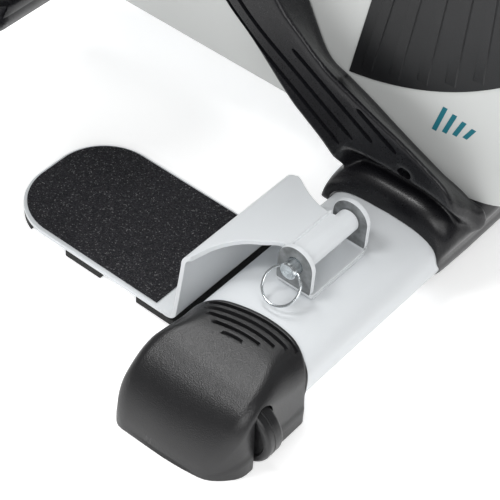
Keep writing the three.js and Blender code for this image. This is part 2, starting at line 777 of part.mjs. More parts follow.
function footStrap() {
  const { width, sheet, rise, halfSpan, toe } = STRAP;
  const outer = archLine(halfSpan + sheet / 2, rise + sheet / 2, -9);
  const inner = archLine(halfSpan - sheet / 2, rise - sheet / 2, -9).reverse();
  return alongY(shapeOf([...outer, ...inner]), toe, toe + width);
}

// Puts a piece drawn in the pedal's own frame on the left pedal at rest.
function onLeftPedal(geometry) {
  geometry.rotateX(radians(PEDAL.tilt));
  return geometry.translate(-PEDAL.centreX, CRANK_AXIS.y + pedalOffset.y, CRANK_AXIS.z + pedalOffset.z);
}

// The right crank stands half a turn from the left, and its pedal keeps the same tilt.
function addPedalPair(name, geometry, material) {
  const left = onLeftPedal(geometry);
  add(`${name}_left`, left, material);
  add(`${name}_right`, mirrored(left).translate(0, -2 * pedalOffset.y, -2 * pedalOffset.z), material);
}

function addCrankPair(name, geometry, material) {
  add(`${name}_left`, geometry, material);
  const right = mirrored(geometry).translate(0, -CRANK_AXIS.y, -CRANK_AXIS.z).rotateX(Math.PI);
  add(`${name}_right`, right.translate(0, CRANK_AXIS.y, CRANK_AXIS.z), material);
}

addCrankPair("crank_arm", crankArm(), steel);
addCrankPair("pedal_spindle", pedalSpindle(), zinc);
addPedalPair("pedal", pedalBody(), blackPlastic);
addPedalPair("pedal_strap", footStrap(), webbing);

// ---------------------------------------------------------------- console, knob and handle

// The console's own frame: +Z out of the sloping face, +Y down the slope towards the user.
const consoleGroup = new THREE.Group();
consoleGroup.position.set(0, CONSOLE.y, CONSOLE.z);
consoleGroup.rotation.x = -radians(CONSOLE.slope);
machine.add(consoleGroup);

function consoleBody() {
  const { halfWidth, halfLength, height } = CONSOLE;
  const face = roundedRectangle(-halfWidth, -halfLength, halfWidth, halfLength, 14);
  const body = alongZ(shapeOf(face), 0, height);
  const { halfWidth: glassHalf, y0, y1, glass } = DISPLAY;
  const glassPocket = box(-glassHalf - GAP, glassHalf + GAP, y0 - GAP, y1 + GAP, height - glass - GAP, 40);
  const floorOfPocket = height - BUTTON.pocket;
  const buttonPockets = [-BUTTON.x, BUTTON.x].map((x) =>
    rodZ(BUTTON.radius + GAP, floorOfPocket, 40, x, BUTTON.y),
  );
  const shaftBore = rodZ(KNOB.shaft + GAP, height - 10, 40, 0, KNOB.y);
  return cut(body, glassPocket, ...buttonPockets, shaftBore);
}

function displayWindow() {
  const { halfWidth, y0, y1, glass } = DISPLAY;
  return box(-halfWidth, halfWidth, y0, y1, CONSOLE.height - glass, CONSOLE.height);
}

function pushButton(x) {
  const travelRoom = 2;
  const bottom = CONSOLE.height - BUTTON.pocket + travelRoom;
  return rodZ(BUTTON.radius, bottom, CONSOLE.height + BUTTON.proud, x, BUTTON.y);
}

function resistanceKnob() {
  const { radius, height, shaft, y } = KNOB;
  const base = CONSOLE.height + GAP;
  const profile = [
    [0, CONSOLE.height - 9],
    [shaft, CONSOLE.height - 9],
    [shaft, base],
    [radius, base],
    [radius - 1, base + height - 2],
    [radius - 3, base + height],
    [0, base + height],
  ];
  const points = profile.map(([r, z]) => new THREE.Vector2(r, z));
  const body = new THREE.LatheGeometry(points, 28).rotateX(Math.PI / 2).translate(0, y, 0);
  const pointerNotch = box(-1.2, 1.2, y - radius - 2, y - 6, base + height - 1.2, base + height + 2);
  return cut(body, pointerNotch);
}

add("console", consoleBody(), blackPlastic, consoleGroup);
add("display_window", displayWindow(), displayGlass, consoleGroup);
add("mode_button", pushButton(-BUTTON.x), rubber, consoleGroup);
add("start_button", pushButton(BUTTON.x), rubber, consoleGroup);
add("resistance_knob", resistanceKnob(), blackPlastic, consoleGroup);

function carryHandle() {
  const { front, rear, top, bend, foot, radius } = HANDLE;
  const at = (y, z) => new THREE.Vector3(0, y, z);
  const path = new THREE.CurvePath();
  path.add(new THREE.LineCurve3(at(front, foot), at(front, top - bend)));
  path.add(new THREE.QuadraticBezierCurve3(at(front, top - bend), at(front, top), at(front + bend, top)));
  path.add(new THREE.LineCurve3(at(front + bend, top), at(rear - bend, top)));
  path.add(new THREE.QuadraticBezierCurve3(at(rear - bend, top), at(rear, top), at(rear, top - bend)));
  path.add(new THREE.LineCurve3(at(rear, top - bend), at(rear, foot)));
  const section = shapeOf(arc(0, 0, radius, 0, 360, 12).slice(1));
  return new THREE.ExtrudeGeometry(section, { steps: 26, extrudePath: path });
}

add("carry_handle", carryHandle(), paint);

export default machine;
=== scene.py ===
"""Looks of the pedal exerciser: a floor-standing crank trainer with hinged foot plates.

Every shape is drawn in millimetres in the frame's own axes (+Y towards the user, +Z up).
Pieces that come in pairs are drawn on the -X side and mirrored for the +X side.
"""

import math

import bpy
import bmesh
import numpy as np
from mathutils import Matrix, Vector


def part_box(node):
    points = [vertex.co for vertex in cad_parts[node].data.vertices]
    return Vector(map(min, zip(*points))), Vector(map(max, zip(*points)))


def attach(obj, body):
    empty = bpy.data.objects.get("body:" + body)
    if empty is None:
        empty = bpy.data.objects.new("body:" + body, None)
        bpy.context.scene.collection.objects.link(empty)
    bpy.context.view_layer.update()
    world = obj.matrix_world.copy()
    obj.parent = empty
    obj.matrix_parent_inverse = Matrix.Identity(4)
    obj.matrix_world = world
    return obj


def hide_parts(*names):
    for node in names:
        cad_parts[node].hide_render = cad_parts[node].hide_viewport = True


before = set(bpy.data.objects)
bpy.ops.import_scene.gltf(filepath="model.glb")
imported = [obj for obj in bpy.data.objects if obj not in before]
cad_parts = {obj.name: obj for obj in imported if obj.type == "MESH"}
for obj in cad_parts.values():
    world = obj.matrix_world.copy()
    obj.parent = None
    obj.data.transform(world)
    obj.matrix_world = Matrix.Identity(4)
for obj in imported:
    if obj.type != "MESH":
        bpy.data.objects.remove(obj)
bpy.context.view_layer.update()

MM = 0.001
SIDES = ("left", "right")
BASE = ("base", "base")


def box_mm(node):
    low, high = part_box(node)
    return np.array(low) / MM, np.array(high) / MM


def centre_mm(node):
    low, high = box_mm(node)
    return (low + high) / 2


FRONT_LOW, FRONT_HIGH = box_mm("front_base_tube")
REAR_LOW, REAR_HIGH = box_mm("rear_base_tube")
TUBE_Z = (FRONT_LOW[2] + FRONT_HIGH[2]) / 2
TUBE_HALF_WIDTH = (FRONT_HIGH[1] - FRONT_LOW[1]) / 2
TUBE_HALF_HEIGHT = (FRONT_HIGH[2] - FRONT_LOW[2]) / 2
TUBE_SQUARENESS = 3
FRONT_Y = (FRONT_LOW[1] + FRONT_HIGH[1]) / 2
REAR_Y = (REAR_LOW[1] + REAR_HIGH[1]) / 2
FRONT_NOSE = box_mm("front_end_cap_left")[0][0]
REAR_NOSE = box_mm("rear_end_cap_left")[0][0]
CAP_LENGTH = box_mm("front_end_cap_left")[1][0] - FRONT_NOSE
CAP_TOP = box_mm("front_end_cap_left")[1][2]
WHEEL = centre_mm("transport_wheel_left")
PIN = centre_mm("quick_pin_left")
PIN_OUT = box_mm("quick_pin_left")[0][0]
CRANK = centre_mm("crank_shaft")
PANEL_X = box_mm("housing_left")[0][0]
UNDERSIDE = box_mm("housing_left")[0][2]
PLATE_LOW, PLATE_HIGH = box_mm("foot_plate_left")
GRIP_LOW, GRIP_HIGH = box_mm("grip_sheet_left")
PEDAL_LEFT = centre_mm("pedal_spindle_left")
PEDAL_RIGHT = centre_mm("pedal_spindle_right")


# ---------------------------------------------------------------- node materials


def new_material(name):
    material = bpy.data.materials.new(name)
    material.use_nodes = True
    nodes = material.node_tree.nodes
    return material, nodes, material.node_tree.links, nodes["Principled BSDF"]


def noise_node(nodes, links, coords, scale, detail=3.0, roughness=0.5):
    node = nodes.new("ShaderNodeTexNoise")
    node.inputs["Scale"].default_value = scale
    node.inputs["Detail"].default_value = detail
    node.inputs["Roughness"].default_value = roughness
    links.new(coords, node.inputs["Vector"])
    return node.outputs["Fac"]


def ramp_node(nodes, links, value, stops):
    node = nodes.new("ShaderNodeValToRGB")
    ramp = node.color_ramp
    while len(ramp.elements) < len(stops):
        ramp.elements.new(0.5)
    for element, (position, colour) in zip(ramp.elements, stops):
        element.position = position
        element.color = (*colour, 1.0)
    links.new(value, node.inputs["Fac"])
    return node.outputs["Color"]


def range_node(nodes, links, value, low, high, from_low=0.3, from_high=0.7):
    node = nodes.new("ShaderNodeMapRange")
    node.inputs["From Min"].default_value = from_low
    node.inputs["From Max"].default_value = from_high
    node.inputs["To Min"].default_value = low
    node.inputs["To Max"].default_value = high
    links.new(value, node.inputs["Value"])
    return node.outputs["Result"]


def bump_node(nodes, links, height, distance, strength=1.0, normal=None):
    node = nodes.new("ShaderNodeBump")
    node.inputs["Distance"].default_value = distance
    node.inputs["Strength"].default_value = strength
    links.new(height, node.inputs["Height"])
    if normal is not None:
        links.new(normal, node.inputs["Normal"])
    return node.outputs["Normal"]


def object_coords(nodes):
    return nodes.new("ShaderNodeTexCoord").outputs["Object"]


def scaled(colour, factor):
    return tuple(min(1.0, c * factor) for c in colour)


def surface(name, colour, roughness, grain, relief, metallic=0.0, spread=0.06, patch=18.0):
    """A finish with broad colour variation, fine grain in its roughness, and fine relief.

    grain is the grain's scale in 1/m and relief its depth in metres.
    """
    material, nodes, links, shader = new_material(name)
    coords = object_coords(nodes)
    broad = noise_node(nodes, links, coords, patch)
    stops = [(0.35, scaled(colour, 1 - spread)), (0.65, scaled(colour, 1 + spread))]
    links.new(ramp_node(nodes, links, broad, stops), shader.inputs["Base Color"])
    fine = noise_node(nodes, links, coords, grain, 2.0)
    rough = range_node(nodes, links, fine, roughness * 0.85, roughness * 1.15)
    links.new(rough, shader.inputs["Roughness"])
    links.new(bump_node(nodes, links, fine, relief), shader.inputs["Normal"])
    shader.inputs["Metallic"].default_value = metallic
    return material


def with_inputs(material, **values):
    """Sets uniform numbers on a material's shader, named with _ for each space."""
    for name, value in values.items():
        material.node_tree.nodes["Principled BSDF"].inputs[name.replace("_", " ")].default_value = value
    return material


def paint_material():
    material = surface("frame_paint", (0.69, 0.715, 0.735), 0.42, 900.0, 0.00003, spread=0.012)
    return with_inputs(material, Coat_Weight=0.25, Coat_Roughness=0.25)


def ear_paint_and_shade_material():
    """Painted shade for the ears' flat faces: the paint darkened to grey, with cloudy patches."""
    return surface("patchy_paint_and_painted_shade", (0.20, 0.21, 0.215), 0.45, 700.0, 0.00004, 0.35, spread=0.28, patch=190.0)


def shell_material():
    return surface("housing_shell", (0.62, 0.635, 0.625), 0.5, 1300.0, 0.00004, spread=0.012)


def grained_black_material():
    """Spark-eroded ABS: dark grey with a fine pebbled grain that catches the light."""
    material, nodes, links, shader = new_material("black_abs")
    coords = object_coords(nodes)
    broad = noise_node(nodes, links, coords, 25.0)
    stops = [(0.35, (0.008, 0.008, 0.009)), (0.65, (0.011, 0.011, 0.012))]
    links.new(ramp_node(nodes, links, broad, stops), shader.inputs["Base Color"])
    cells = nodes.new("ShaderNodeTexVoronoi")
    cells.inputs["Scale"].default_value = 1500.0
    links.new(coords, cells.inputs["Vector"])
    fine = noise_node(nodes, links, coords, 1100.0, 3.0, 0.6)
    links.new(range_node(nodes, links, fine, 0.28, 0.38), shader.inputs["Roughness"])
    pebbled = bump_node(nodes, links, cells.outputs["Distance"], 0.00009)
    links.new(bump_node(nodes, links, fine, 0.00008, normal=pebbled), shader.inputs["Normal"])
    shader.inputs["Specular IOR Level"].default_value = 0.5
    return material


def leg_material():
    material = surface("leg_plastic", (0.006, 0.006, 0.0075), 0.3, 1400.0, 0.000025, spread=0.12)
    return with_inputs(material, Specular_IOR_Level=0.33)


def ribbed_material():
    return surface("ribbed_plastic", (0.0115, 0.012, 0.013), 0.46, 1300.0, 0.00006, spread=0.1)


def rubber_material():
    return surface("rubber", (0.012, 0.012, 0.012), 0.8, 700.0, 0.0001, spread=0.15)


def grit_material():
    """Anti-slip sheet: near-black with coarse grit and scattered bright mineral specks."""
    material, nodes, links, shader = new_material("grip_sheet")
    coords = object_coords(nodes)
    grains = nodes.new("ShaderNodeTexVoronoi")
    grains.inputs["Scale"].default_value = 1500.0
    links.new(coords, grains.inputs["Vector"])
    separate = nodes.new("ShaderNodeSeparateColor")
    links.new(grains.outputs["Color"], separate.inputs["Color"])
    stops = [
        (0.0, (0.008, 0.008, 0.010)),
        (0.70, (0.016, 0.016, 0.019)),
        (0.94, (0.040, 0.040, 0.046)),
        (1.0, (0.16, 0.155, 0.16)),
    ]
    links.new(ramp_node(nodes, links, separate.outputs["Red"], stops), shader.inputs["Base Color"])
    gloss = range_node(nodes, links, separate.outputs["Green"], 0.5, 0.95, 0.0, 1.0)
    links.new(gloss, shader.inputs["Roughness"])
    lumps = noise_node(nodes, links, coords, 1300.0, 3.0, 0.7)
    rough = bump_node(nodes, links, grains.outputs["Distance"], 0.0002)
    links.new(bump_node(nodes, links, lumps, 0.0003, normal=rough), shader.inputs["Normal"])
    shader.inputs["Specular IOR Level"].default_value = 0.25
    return material


def zinc_material():
    finish = (0.66, 0.70, 0.72)
    return surface("zinc", finish, 0.2, 500.0, 0.000006, metallic=1.0, spread=0.08, patch=160.0)


def steel_material():
    """Turned or ground steel, with fine streaks along X."""
    material, nodes, links, shader = new_material("steel")
    coords = object_coords(nodes)
    stretch = nodes.new("ShaderNodeMapping")
    stretch.inputs["Scale"].default_value = (40.0, 900.0, 900.0)
    links.new(coords, stretch.inputs["Vector"])
    streaks = noise_node(nodes, links, stretch.outputs["Vector"], 1.0)
    stops = [(0.3, (0.42, 0.43, 0.44)), (0.7, (0.56, 0.57, 0.58))]
    links.new(ramp_node(nodes, links, streaks, stops), shader.inputs["Base Color"])
    links.new(range_node(nodes, links, streaks, 0.24, 0.42), shader.inputs["Roughness"])
    links.new(bump_node(nodes, links, streaks, 0.00002), shader.inputs["Normal"])
    shader.inputs["Metallic"].default_value = 1.0
    return material


def iron_material():
    return surface("cast_iron", (0.12, 0.125, 0.13), 0.5, 400.0, 0.0002, metallic=0.8, spread=0.2)


def webbing_material():
    """Woven polypropylene band: two crossed waves give the over-and-under of the yarns."""
    material, nodes, links, shader = new_material("webbing")
    coords = object_coords(nodes)
    crossings = nodes.new("ShaderNodeMath")
    crossings.operation = "MULTIPLY"
    for slot, direction in enumerate(("X", "DIAGONAL")):
        wave = nodes.new("ShaderNodeTexWave")
        wave.bands_direction = direction
        wave.inputs["Scale"].default_value = 230.0
        wave.inputs["Distortion"].default_value = 0.4
        links.new(coords, wave.inputs["Vector"])
        links.new(wave.outputs["Fac"], crossings.inputs[slot])
    weave = crossings.outputs["Value"]
    stops = [(0.0, (0.008, 0.008, 0.009)), (0.6, (0.03, 0.03, 0.032)), (1.0, (0.075, 0.075, 0.08))]
    links.new(ramp_node(nodes, links, weave, stops), shader.inputs["Base Color"])
    fuzz = noise_node(nodes, links, coords, 1500.0)
    links.new(range_node(nodes, links, fuzz, 0.75, 0.95), shader.inputs["Roughness"])
    woven = bump_node(nodes, links, weave, 0.0006)
    links.new(bump_node(nodes, links, fuzz, 0.0001, normal=woven), shader.inputs["Normal"])
    shader.inputs["Sheen Weight"].default_value = 0.3
    return material


def glass_material():
    material = surface("display_glass", (0.10, 0.13, 0.115), 0.12, 60.0, 0.00001, spread=0.1)
    return with_inputs(material, Coat_Weight=1.0)


PAINT = paint_material()
EAR_PAINT_AND_SHADE = ear_paint_and_shade_material()
SHELL = shell_material()
ABS = grained_black_material()
LEG = leg_material()
RIBBED = ribbed_material()
RUBBER = rubber_material()
GRIT = grit_material()
ZINC = zinc_material()
STEEL = steel_material()
IRON = iron_material()
WEBBING = webbing_material()
GLASS = glass_material()
TEAL = surface("teal_ink", (0.022, 0.185, 0.235), 0.35, 900.0, 0.00002, spread=0.08)
THREAD = surface("stitch_thread", (0.42, 0.42, 0.43), 0.8, 1500.0, 0.0001, spread=0.15)
SEGMENTS = surface("display_segments", (0.012, 0.015, 0.014), 0.3, 900.0, 0.00001, spread=0.1)
MARKING = surface("white_marking", (0.72, 0.73, 0.74), 0.45, 900.0, 0.00002, spread=0.04)


# ---------------------------------------------------------------- mesh helpers


def clean(mesh, smooth_angle=35):
    """Merges doubles, turns the faces outward and shades smooth except at sharp edges."""
    work = bmesh.new()
    work.from_mesh(mesh)
    bmesh.ops.remove_doubles(work, verts=work.verts, dist=1e-7)
    bmesh.ops.recalc_face_normals(work, faces=work.faces)
    work.to_mesh(mesh)
    work.free()
    mesh.shade_smooth()
    mesh.set_sharp_from_angle(angle=math.radians(smooth_angle))


def make_mesh(name, verts, faces, smooth_angle=35):
    mesh = bpy.data.meshes.new(name)
    mesh.from_pydata([tuple(float(c) * MM for c in v) for v in verts], [], faces)
    clean(mesh, smooth_angle)
    return mesh


def make_object(name, mesh, material, bevel=0.0):
    obj = bpy.data.objects.new(name, mesh)
    bpy.context.collection.objects.link(obj)
    mesh.materials.clear()
    mesh.materials.append(material)
    if bevel:
        modifier = obj.modifiers.new("edges", "BEVEL")
        modifier.width = bevel * MM
        modifier.segments = 2
        modifier.angle_limit = math.radians(40)
        modifier.harden_normals = True
    return obj


def join_parts(*parts):
    """Puts several (verts, faces) lists into one."""
    verts, faces = [], []
    for part_verts, part_faces in parts:
        start = len(verts)
        verts.extend(part_verts)
        faces.extend([tuple(start + i for i in face) for face in part_faces])
    return verts, faces


def grid(rows, close_rows=False):
    """Skins rows of points, each a closed ring. The ends are capped unless the rows close up."""
    count = len(rows[0])
    verts = [tuple(p) for row in rows for p in row]
    faces = []
    last = len(rows) if close_rows else len(rows) - 1
    for r in range(last):
        here = r * count
        there = ((r + 1) % len(rows)) * count
        for i in range(count):
            j = (i + 1) % count
            faces.append((here + i, here + j, there + j, there + i))
    if not close_rows:
        faces.append(tuple(range(count - 1, -1, -1)))
        end = (len(rows) - 1) * count
        faces.append(tuple(range(end, end + count)))
    return verts, faces


def mirror_mesh(mesh, name):
    copy = mesh.copy()
    copy.name = name
    copy.transform(Matrix.Diagonal((-1, 1, 1, 1)))
    copy.flip_normals()
    return copy


def finish_piece(obj, body, slot, *nodes):
    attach(obj, body)
    if nodes:
        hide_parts(*nodes)
    return obj


def add_single(name, parts, material, slot, body="base", nodes=(), bevel=0.0, smooth_angle=35):
    obj = make_object(name, make_mesh(name, *parts, smooth_angle), material, bevel)
    return finish_piece(obj, body, slot, *nodes)


def add_pair(name, mesh, material, slot, bodies, node="", bevel=0.0):
    """The mesh as drawn on the left, and its mirror image on the right."""
    made = []
    for side, body in zip(SIDES, bodies):
        label = f"{name}_{side}"
        own = mesh if side == "left" else mirror_mesh(mesh, label)
        obj = make_object(label, own, material, bevel)
        nodes = [f"{node}_{side}"] if node else []
        made.append(finish_piece(obj, body, slot, *nodes))
    return made


def arc(a, b, radius, start, end, steps):
    """Points on a circle's arc in degrees, both ends included."""
    angles = np.radians(np.linspace(start, end, steps + 1))
    return [(a + radius * math.cos(t), b + radius * math.sin(t)) for t in angles]


def rounded_rectangle(a0, b0, a1, b1, radius, steps=8):
    return [
        *arc(a1 - radius, b0 + radius, radius, -90, 0, steps),
        *arc(a1 - radius, b1 - radius, radius, 0, 90, steps),
        *arc(a0 + radius, b1 - radius, radius, 90, 180, steps),
        *arc(a0 + radius, b0 + radius, radius, 180, 270, steps),
    ]


def full_turn(count):
    """Evenly spaced angles round a circle, in radians."""
    return [2 * math.pi * i / count for i in range(count)]


def flat_oval(y, z, grow=0.0):
    """The base tube's section, as (y, z), grown outward."""

    def bend(value):
        return math.copysign(abs(value) ** (2 / TUBE_SQUARENESS), value)

    half_y, half_z = TUBE_HALF_WIDTH + grow, TUBE_HALF_HEIGHT + grow
    return [(y + half_y * bend(math.cos(t)), z + half_z * bend(math.sin(t))) for t in full_turn(96)]


def at_x(points, x):
    return [(x, a, b) for a, b in points]


def at_z(points, z):
    return [(a, b, z) for a, b in points]


def spin_x(profile, y, z, sides=64):
    """Turns (radius, x) pairs about the line through (y, z) parallel to X."""
    rows = []
    for t in full_turn(sides):
        rows.append([(x, y + r * math.cos(t), z + r * math.sin(t)) for r, x in profile])
    return grid(rows, close_rows=True)


def tube_along(points, radius, sides):
    """A round tube that follows a line of points."""
    path = [Vector(p) for p in points]
    rows = []
    side = None
    for i, here in enumerate(path):
        run = (path[min(i + 1, len(path) - 1)] - path[max(i - 1, 0)]).normalized()
        if side is None:
            side = run.orthogonal().normalized()
        side = (side - run * side.dot(run)).normalized()
        up = run.cross(side)
        turns = full_turn(sides)
        rows.append([here + side * (radius * math.cos(t)) + up * (radius * math.sin(t)) for t in turns])
    return grid(rows)


def cut_object(obj, tools):
    """Cuts the tool objects out of obj for good, and removes them."""
    for tool in tools:
        modifier = obj.modifiers.new("cut", "BOOLEAN")
        modifier.operation = "DIFFERENCE"
        modifier.solver = "EXACT"
        modifier.object = tool
    bpy.context.view_layer.update()
    graph = bpy.context.evaluated_depsgraph_get()
    mesh = bpy.data.meshes.new_from_object(obj.evaluated_get(graph))
    obj.modifiers.clear()
    obj.data = mesh
    for tool in tools:
        bpy.data.objects.remove(tool)
    return obj


def tool_object(parts):
    return make_object("tool", make_mesh("tool", *parts), ABS)


def smooth_step(value):
    value = min(1.0, max(0.0, value))
    return value * value * (3 - 2 * value)


def mix(a, b, t):
    return a + (b - a) * t


def spread(start, end, count):
    return [mix(start, end, i / (count - 1)) for i in range(count)]


def resampled(points, count):
    """Evenly spaced points on a smooth curve through the given ones."""
    pts = np.array(points, float)
    dense = []
    for i in range(len(pts) - 1):
        p0, p1, p2, p3 = pts[max(i - 1, 0)], pts[i], pts[i + 1], pts[min(i + 2, len(pts) - 1)]
        square, cube = 2 * p0 - 5 * p1 + 4 * p2 - p3, 3 * p1 - p0 - 3 * p2 + p3
        for t in spread(0, 1, 9)[:-1]:
            dense.append(0.5 * (2 * p1 + (p2 - p0) * t + square * t**2 + cube * t**3))
    dense.append(pts[-1])
    dense = np.array(dense)
    lengths = np.concatenate([[0], np.cumsum(np.linalg.norm(np.diff(dense, axis=0), axis=1))])
    at = np.linspace(0, lengths[-1], count)
    return [(np.interp(s, lengths, dense[:, 0]), np.interp(s, lengths, dense[:, 1])) for s in at]


def direction_at(line, i):
    """Unit direction of a line of points at its point i."""
    run = np.array(line[min(i + 1, len(line) - 1)]) - np.array(line[max(i - 1, 0)])
    return run / np.linalg.norm(run)


# ---------------------------------------------------------------- base tubes


def base_tube(y, half_length):
    wall = 2.5
    outer, inner = flat_oval(y, TUBE_Z), flat_oval(y, TUBE_Z, -wall)
    rows = [
        at_x(outer, -half_length),
        at_x(outer, half_length),
        at_x(inner, half_length),
        at_x(inner, -half_length),
    ]
    return grid(rows, close_rows=True)


for tube_name, tube_y, tube_half in (
    ("front_tube", FRONT_Y, FRONT_HIGH[0]),
    ("rear_tube", REAR_Y, REAR_HIGH[0]),
):
    node = tube_name.replace("_tube", "_base_tube")
    add_single(tube_name, base_tube(tube_y, tube_half), PAINT, "frame_paint", nodes=[node])


# ---------------------------------------------------------------- end caps

CAP_HALF_WIDTH = 42.0
CAP_BACK = 8.2  # the cap's side is this much shorter than its box
RIM_BULGE = 9.6  # how far the crest of the curved rim stands beyond the side
RIM_CURVE = 0.00714
RIM_CREST = -6.0
NOSE_BOW = 0.0028
GROOVE_PITCH = 5.15
GROOVE_COUNT = 5
GROOVE_DEPTH = 2.5


def nose_height(from_nose):
    """Height of the cap's top above the floor, at a distance from the tip of its nose."""
    reach = 58.0
    t = min(1.0, from_nose / reach)
    return 3.5 + (CAP_TOP - 3.5) * (1 - (1 - t) ** 2.6) ** 0.6


def side_share(from_nose, corner):
    """How much of the half width is left at a distance from the nose, for a corner of some radius."""
    into = max(0.0, 1 - from_nose / corner)
    return 1 - 0.8 * corner / CAP_HALF_WIDTH * (1 - math.sqrt(1 - into**2))


def cap_section(from_nose, length):
    """One ring of the cap, as (across, height): floor, side, shoulder, top, shoulder, side."""
    half, height = CAP_HALF_WIDTH, nose_height(from_nose)
    shoulder = mix(8.0, 19.0, smooth_step((from_nose - 24) / (length - 34)))
    shoulder = min(shoulder, height * 0.7)
    band = min(13.0, height * 0.3)
    draft = 1.6 * min(1.0, height / CAP_TOP)
    side = height - shoulder
    inner = half - draft
    ring = [(a, 0.0) for a in spread(-half, half, 12)]
    ring += [(half, b) for b in spread(0, band, 4)[1:]]
    ring += [(mix(half - 0.25, inner, t), mix(band + 0.4, side, t)) for t in spread(0, 1, 6)[:-1]]
    ring += [(inner - shoulder + a, side + b) for a, b in arc(0, 0, shoulder, 0, 90, 12)]
    flat = inner - shoulder
    ring += [(a, height) for a in spread(flat, -flat, 60)[1:-1]]
    ring += [(-inner + shoulder + a, side + b) for a, b in arc(0, 0, shoulder, 90, 180, 12)]
    ring += [(-mix(inner, half - 0.25, t), mix(side, band + 0.4, t)) for t in spread(0, 1, 6)[1:]]
    ring += [(-half, b) for b in spread(band, 0, 4)[:-1]]
    return ring


def groove_depth(from_rim, across):
    """Depth of the five grooves, at a distance back from the rim and a place across the top."""
    for k in range(GROOVE_COUNT):
        middle = 4.0 + GROOVE_PITCH * k
        start, end = 29.5 - 1.3 * k**2, -31.0 + 4.0 * k + 0.65 * k**2
        if not end < across < start:
            continue
        ends = smooth_step((across - end) / 2.0) * smooth_step((start - across) / 1.2)
        offset = from_rim - middle
        if -1.3 < offset < 1.5:
            steep = smooth_step((offset + 1.3) / 0.5)
            ramp = 1 - smooth_step((offset - 0.5) / 1.0)
            return GROOVE_DEPTH * steep * ramp * ends
    return 0.0


def socket_rows(rim, tube_y):
    """Rings from the cap's rim into the socket that holds the tube."""
    rows = []
    for depth, gap in ((0.0, 0.9), (0.6, 0.35), (38.0, 0.35)):
        ring = []
        for x, y, z in rim:
            angle = math.atan2((z - TUBE_Z) / TUBE_HALF_HEIGHT, (y - tube_y) / TUBE_HALF_WIDTH)
            c, s = math.cos(angle), math.sin(angle)
            reach = (abs(c) ** TUBE_SQUARENESS + abs(s) ** TUBE_SQUARENESS) ** (-1 / TUBE_SQUARENESS)
            inner_y = tube_y + (TUBE_HALF_WIDTH + gap) * reach * c
            inner_z = TUBE_Z + (TUBE_HALF_HEIGHT + gap) * reach * s
            ring.append((x - depth, inner_y, inner_z))
        rows.append(ring)
    return rows


def cap_parts(y, nose_x, length):
    """A hollow cap on the tube at y, with its nose at nose_x and its rim towards the middle."""
    rim_radius = 2.5
    near_rim = spread(length - 31, length - rim_radius, 110)
    stations = [0.0, 0.5, 1.2, 2.2, 3.5, 5, 7, 9, 11, 13, 15, 18, 21, 24, 27, 30, 33, 36, 40]
    stations += near_rim + [length - 1.2, length - 0.4, length]
    rows = []
    for s in stations:
        bulge_fade = smooth_step((s - 30) / 14)
        over_rim = max(0.0, s - length + rim_radius) / rim_radius
        rim_round = 1.1 * (1 - math.sqrt(max(0.0, 1 - over_rim**2)))
        ring = []
        user_share, outer_share = side_share(s, 13.0), side_share(s, 24.0)
        for across, height in cap_section(s, length):
            across *= user_share if across > 0 else outer_share
            bow = NOSE_BOW * min(0.0, across - 8) ** 2 * (1 - smooth_step(s / 25))
            bend = (RIM_BULGE - RIM_CURVE * (across - RIM_CREST) ** 2) * bulge_fade
            on_top = smooth_step((height - 26) / 20)
            x = nose_x + s + bow + bend * on_top
            z = height
            if height > CAP_TOP - 3:
                z -= groove_depth(length - s, across)
            scale = 1 - rim_round / CAP_HALF_WIDTH
            ring.append((x, y + across * scale, max(0.0, z - rim_round * (height > 1))))
        rows.append(ring)
    return grid(rows + socket_rows(rows[-1], y))


def wheel_slot_tool():
    """The slot that the wheel turns in: round at the top, open below and in front."""
    half = (box_mm("transport_wheel_left")[1][0] - box_mm("transport_wheel_left")[0][0]) / 2 + 1.4
    front, back = WHEEL[1] - 40, WHEEL[1] + 22.5
    top = WHEEL[2] + 22.5
    outline = [(-half, -5), (half, -5), *arc(0, top - half, half, 0, 180, 14)]
    rows = [[(WHEEL[0] + a, along, b) for a, b in outline] for along in (front, back)]
    return tool_object(grid(rows))


def build_caps():
    front = make_mesh("front_cap", *cap_parts(FRONT_Y, FRONT_NOSE, CAP_LENGTH - CAP_BACK), 50)
    holder = make_object("front_cap_shape", front, ABS)
    cut_object(holder, [wheel_slot_tool()])
    slotted = holder.data
    bpy.data.objects.remove(holder)
    clean(slotted, 42)
    add_pair("front_cap", slotted, ABS, "black_abs", BASE, "front_end_cap")
    rear = make_mesh("rear_cap", *cap_parts(REAR_Y, REAR_NOSE, CAP_LENGTH - CAP_BACK), 50)
    add_pair("rear_cap", rear, ABS, "black_abs", BASE, "rear_end_cap")


build_caps()


# ---------------------------------------------------------------- transport wheels


def build_wheels():
    low, high = box_mm("transport_wheel_left")
    half = (high[0] - low[0]) / 2
    radius = (high[2] - low[2]) / 2
    bore = 3.3
    rounding = [(radius - 2.2 + a, half - 2.2 + b) for a, b in arc(0, 0, 2.2, 0, 90, 6)]
    groove = [(radius - 4.2, half), (radius - 5.2, half - 1.2), (8.0, half - 1.4), (7.0, half)]
    face = groove + [(bore, half)]
    seam = [(radius - 0.35, -0.9), (radius, -0.6), (radius, 0.6), (radius - 0.35, 0.9)]
    right = rounding + face
    left = [(r, -x) for r, x in reversed(right)]
    profile = left + seam + right
    parts = spin_x([(r, x + WHEEL[0]) for r, x in profile], WHEEL[1], WHEEL[2], 72)
    mesh = make_mesh("wheel", *parts)
    add_pair("wheel", mesh, ABS, "black_abs", ("left_wheel", "right_wheel"), "transport_wheel")
    reach = 11
    rod = [(0.001, -reach), (2.6, -reach), (3.0, -reach + 0.4)]
    rod += [(r, -x) for r, x in reversed(rod)]
    axle = spin_x([(r, x + WHEEL[0]) for r, x in rod], WHEEL[1], WHEEL[2], 24)
    add_pair("axle", make_mesh("axle", *axle), ZINC, "zinc", BASE, "wheel_axle")


build_wheels()


# ---------------------------------------------------------------- foot plates

